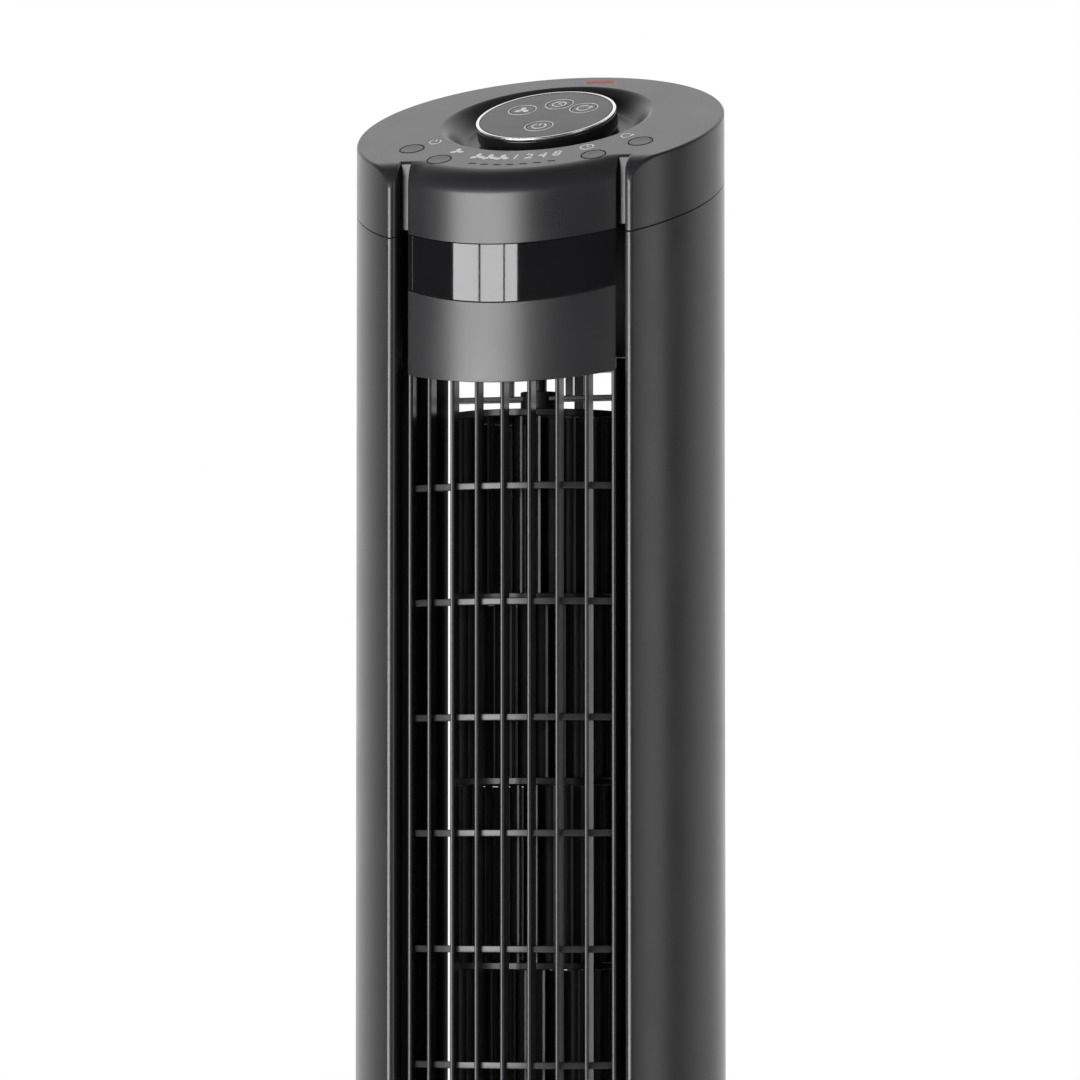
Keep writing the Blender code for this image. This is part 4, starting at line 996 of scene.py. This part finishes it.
def build_remote():
    home = (0.0, REMOTE_CENTRE, REMOTE_FLOOR)
    r = REMOTE_RADIUS
    profile = [(0.0, 0.0055), (r - 0.0020, 0.0055), (r - 0.0020, 0.0077), (r - 0.0018, 0.0080)]
    profile += [(r - 0.0004, 0.0080), (r - 0.0001, 0.0078), (r, 0.0075), (r, 0.0022)]
    profile += [(r - 0.0006, 0.0008), (r - 0.0018, 0.0001), (r - 0.0026, 0.0)]
    profile += [(0.0118, 0.0), (0.0118, 0.0022), (0.0102, 0.0022), (0.0102, 0.0048), (0.0, 0.0048)]
    shell = on_top(spun("remote_body", profile, 128), home)
    smooth(shell)
    settle(shell, "remote", "remote", "remote_shell")
    low, high, inner = 0.0083, REMOTE_HEIGHT, r - 0.0014
    profile = [(inner, low), (r, low), (r, high - 0.0005), (r - 0.0001, high - 0.0002)]
    profile += [(r - 0.0004, high), (inner + 0.0003, high), (inner, high - 0.0002)]
    rim = on_top(spun("remote_silver_ring", profile, 128), home)
    smooth(rim)
    settle(rim, "remote", "silver", "remote_ring")
    edge, low = r - 0.0017, 0.0072
    profile = [(0.0, low), (edge, low), (edge, high - 0.0003), (edge - 0.0003, high - 0.0001)]
    profile += [(0.0, high - 0.0001)]
    face = spun("remote_film", profile, 128)
    for x, s in KEY_PLACES.values():
        hole = spun("hole", [(0.0, 0.0), (0.0058, 0.0), (0.0058, 0.02), (0.0, 0.02)], 64, (x, s))
        carve(face, hole)
    on_top(face, home)
    smooth(face)
    settle(face, "remote", "face", "remote_face")
    for name, (x, s) in KEY_PLACES.items():
        profile = [(0.0, low - 0.0002), (0.0056, low - 0.0002), (0.0056, high - 0.0004)]
        profile += [(0.0055, high - 0.0002), (0.0052, high - 0.0001), (0.0, high - 0.0001)]
        key = on_top(spun(f"{name}_key_film", profile, 64, (x, s)), home)
        smooth(key)
        settle(key, f"remote_{name}_key", "key", f"remote_{name}_key")
        place = (x, REMOTE_CENTRE + s, REMOTE_FLOOR + high - 0.0001)
        printed(f"{name}_key_ring", [ring(0.0062, 0.0005)], place, "remote", "face")
        size = 0.0030 if name != "mode" else 0.0034
        printed(f"{name}_key_mark", MARKS[name](size), place, f"remote_{name}_key", "key")
    refined("battery_door", "battery_cover", "battery_cover", "remote", 0.0002)


# Inside


def build_impeller():
    """One blade, copied round a ring; the segment is then copied down the shaft."""
    low = IMPELLER_TOP - DISC - SEGMENT
    high = low + SEGMENT - GAP
    inner, outer, lean = 0.0289, 0.0376, math.radians(11)
    line = []
    for i in range(7):
        t = i / 6
        radius = inner + (outer - inner) * t
        turn = lean * t + math.radians(5) * math.sin(math.pi * t)
        line.append(Vector((radius * math.cos(turn), radius * math.sin(turn))))
    left, right = [], []
    for i, point in enumerate(line):
        run = (line[min(i + 1, 6)] - line[max(i - 1, 0)]).normalized()
        across = Vector((-run.y, run.x)) * 0.0005
        left.append(point + across)
        right.append(point - across)
    outline = [(p.x, p.y, low + DISC * 0.5) for p in left + right[::-1]]
    blade = extruded(draw("blade", outline, closed=True), (0, 0, high - low - DISC * 0.5))
    pick(blade, "FACE", everything)
    bpy.ops.mesh.spin(
        steps=BLADES, angle=math.tau, dupli=True, center=(0, 0, 0), axis=(0, 0, 1), use_normal_flip=False
    )
    close()
    outward(blade)
    profile = [(0.0285, low), (0.0377, low), (0.0380, low + 0.0003), (0.0380, low + DISC - 0.0003)]
    profile += [(0.0377, low + DISC), (0.0285, low + DISC)]
    disc = spun("disc", profile, 90)
    first = joined("impeller_ring_1", [disc, blade])
    smooth(first, weighted=False)
    rings = [first]
    for number in range(2, 6):
        twin = copied(first, f"impeller_ring_{number}")
        twin.location.z = -(number - 1) * SEGMENT
        twin.rotation_euler.z = math.radians(5) * (number - 1)
        bake_place(twin)
        rings.append(twin)
    for number, piece in enumerate(rings, 1):
        settle(piece, "impeller", "impeller", f"impeller_segment_{number}")
    top = IMPELLER_TOP
    profile = [(0.0, top - DISC), (0.0377, top - DISC), (0.0380, top - DISC + 0.0003)]
    profile += [(0.0380, top - 0.0003), (0.0377, top), (0.0065, top), (0.0045, top + 0.0004)]
    profile += [(0.003, top + 0.0012), (0.003, 0.6222), (0.0027, 0.6225), (0.0, 0.6225)]
    disc = spun("impeller_end_disc", profile, 90)
    smooth(disc)
    settle(disc, "impeller", "impeller", "impeller_top_disc")
    refined("impeller_drive_hub", "impeller_hub", "impeller", "rubber", 0.0004)
    refined("shaft", "motor_shaft", "impeller", "steel", 0.0003)


def build_inside():
    for name, slot, edge in (
        ("duct_ceiling", "inside", 0.0003),
        ("motor_bulkhead", "inside", 0.0004),
        ("bearing_bracket", "inside", 0.0003),
        ("upper_bearing", "bronze", 0.0002),
        ("motor_top_cover", "steel", 0.0004),
        ("motor_stator", "laminations", 0.0004),
        ("motor_bottom_cover", "steel", 0.0004),
        ("capacitor", "window", 0.0012),
        ("swing_bracket", "inside", 0.0003),
        ("swing_motor", "steel", 0.0006),
        ("light_guide", "lens", 0.0001),
        ("control_board", "board", 0.0001),
    ):
        refined(f"{name}_made", name, "tower", slot, edge)
    # The duct walls take the darkened look, which is painted shade.
    refined("duct_wall_left_made", "duct_wall_left", "tower", "inside", 0.0004, look="duct")
    refined("duct_wall_right_made", "duct_wall_right", "tower", "inside", 0.0004, look="duct")
    refined("pinion", "swing_pinion", "swing_pinion", "nylon", 0.00012)


# Stage, light and camera


def softbox(name, turn, high, wide, tall, radiance, away=2.6, middle=1.0):
    """An upright light panel at a turn from the front, towards +X, that faces the tower."""
    data = bpy.data.lights.new(name, "AREA")
    data.shape = "RECTANGLE"
    data.size, data.size_y = wide, tall
    data.energy = radiance * math.pi * wide * tall
    lamp = bpy.data.objects.new(name, data)
    bpy.context.scene.collection.objects.link(lamp)
    a = math.radians(turn)
    lamp.location = (away * math.sin(a), -away * math.cos(a), high)
    aim = Vector((0, 0, middle)) - lamp.location
    lamp.rotation_euler = aim.to_track_quat("-Z", "Y").to_euler()


def build_stage():
    bpy.ops.mesh.primitive_plane_add(size=6.0, location=(0, 0, -0.0002))
    floor = named("studio_floor")
    made = new_material("painted studio floor, pale", "#EDEDEC", 0.6)
    floor.data.materials.append(textured(made, "#EBEBEA", "#F0F0EF", 900, 30, 0.05, (0.55, 0.65)))
    softbox("key_left", -40.0, 0.52, 0.76, 1.4, 12.0, middle=0.52)
    softbox("key_middle", -23.4, 0.52, 0.64, 1.4, 12.0, middle=0.52)
    softbox("key_right", -11.7, 0.52, 0.33, 1.4, 12.0, middle=0.52)
    softbox("fill_right", 65.0, 1.0, 0.8, 2.0, 2.2)
    world = bpy.data.worlds.new("studio")
    bpy.context.scene.world = world
    world.use_nodes = True
    tree = world.node_tree
    tree.nodes.clear()
    place = node(tree, "ShaderNodeTexCoord").outputs["Generated"]
    lean = node(
        tree, "ShaderNodeVectorMath", {0: place, 1: (0.0, 1.0, -0.25)}, operation="DOT_PRODUCT"
    ).outputs["Value"]
    bright = node(
        tree,
        "ShaderNodeMapRange",
        {"Value": lean, "From Min": -0.25, "From Max": 0.50, "To Min": 0.04, "To Max": 1.4},
        interpolation_type="SMOOTHSTEP",
    ).outputs["Result"]
    seen = node(tree, "ShaderNodeLightPath").outputs["Is Camera Ray"]
    level = node(
        tree, "ShaderNodeMix", {"Factor": seen, "A": bright, "B": 1.0}, data_type="FLOAT"
    ).outputs["Result"]
    back = node(tree, "ShaderNodeBackground", {"Color": (1, 1, 1, 1), "Strength": level})
    node(tree, "ShaderNodeOutputWorld", {"Surface": back.outputs["Background"]})


def build_camera():
    data = bpy.data.cameras.new("camera")
    data.lens = LENS
    data.sensor_width = 36.0
    data.clip_end = 100.0
    camera = bpy.data.objects.new("camera", data)
    bpy.context.scene.collection.objects.link(camera)
    camera.location = (
        CAMERA_AWAY * math.sin(CAMERA_TURN),
        -CAMERA_AWAY * math.cos(CAMERA_TURN),
        CAMERA_HEIGHT,
    )
    aim = Vector((0, 0, AIM_HEIGHT)) - camera.location
    camera.rotation_euler = aim.to_track_quat("-Z", "Y").to_euler()
    bpy.context.scene.camera = camera


bpy.context.scene.view_settings.view_transform = "Standard"
build_camera()
build_stage()
build_base()
build_tower_foot()
build_side_shells()
build_rear_grille()
build_rear_screws()
build_front()
build_cap()
build_buttons()
build_prints()
build_remote()
build_impeller()
build_inside()
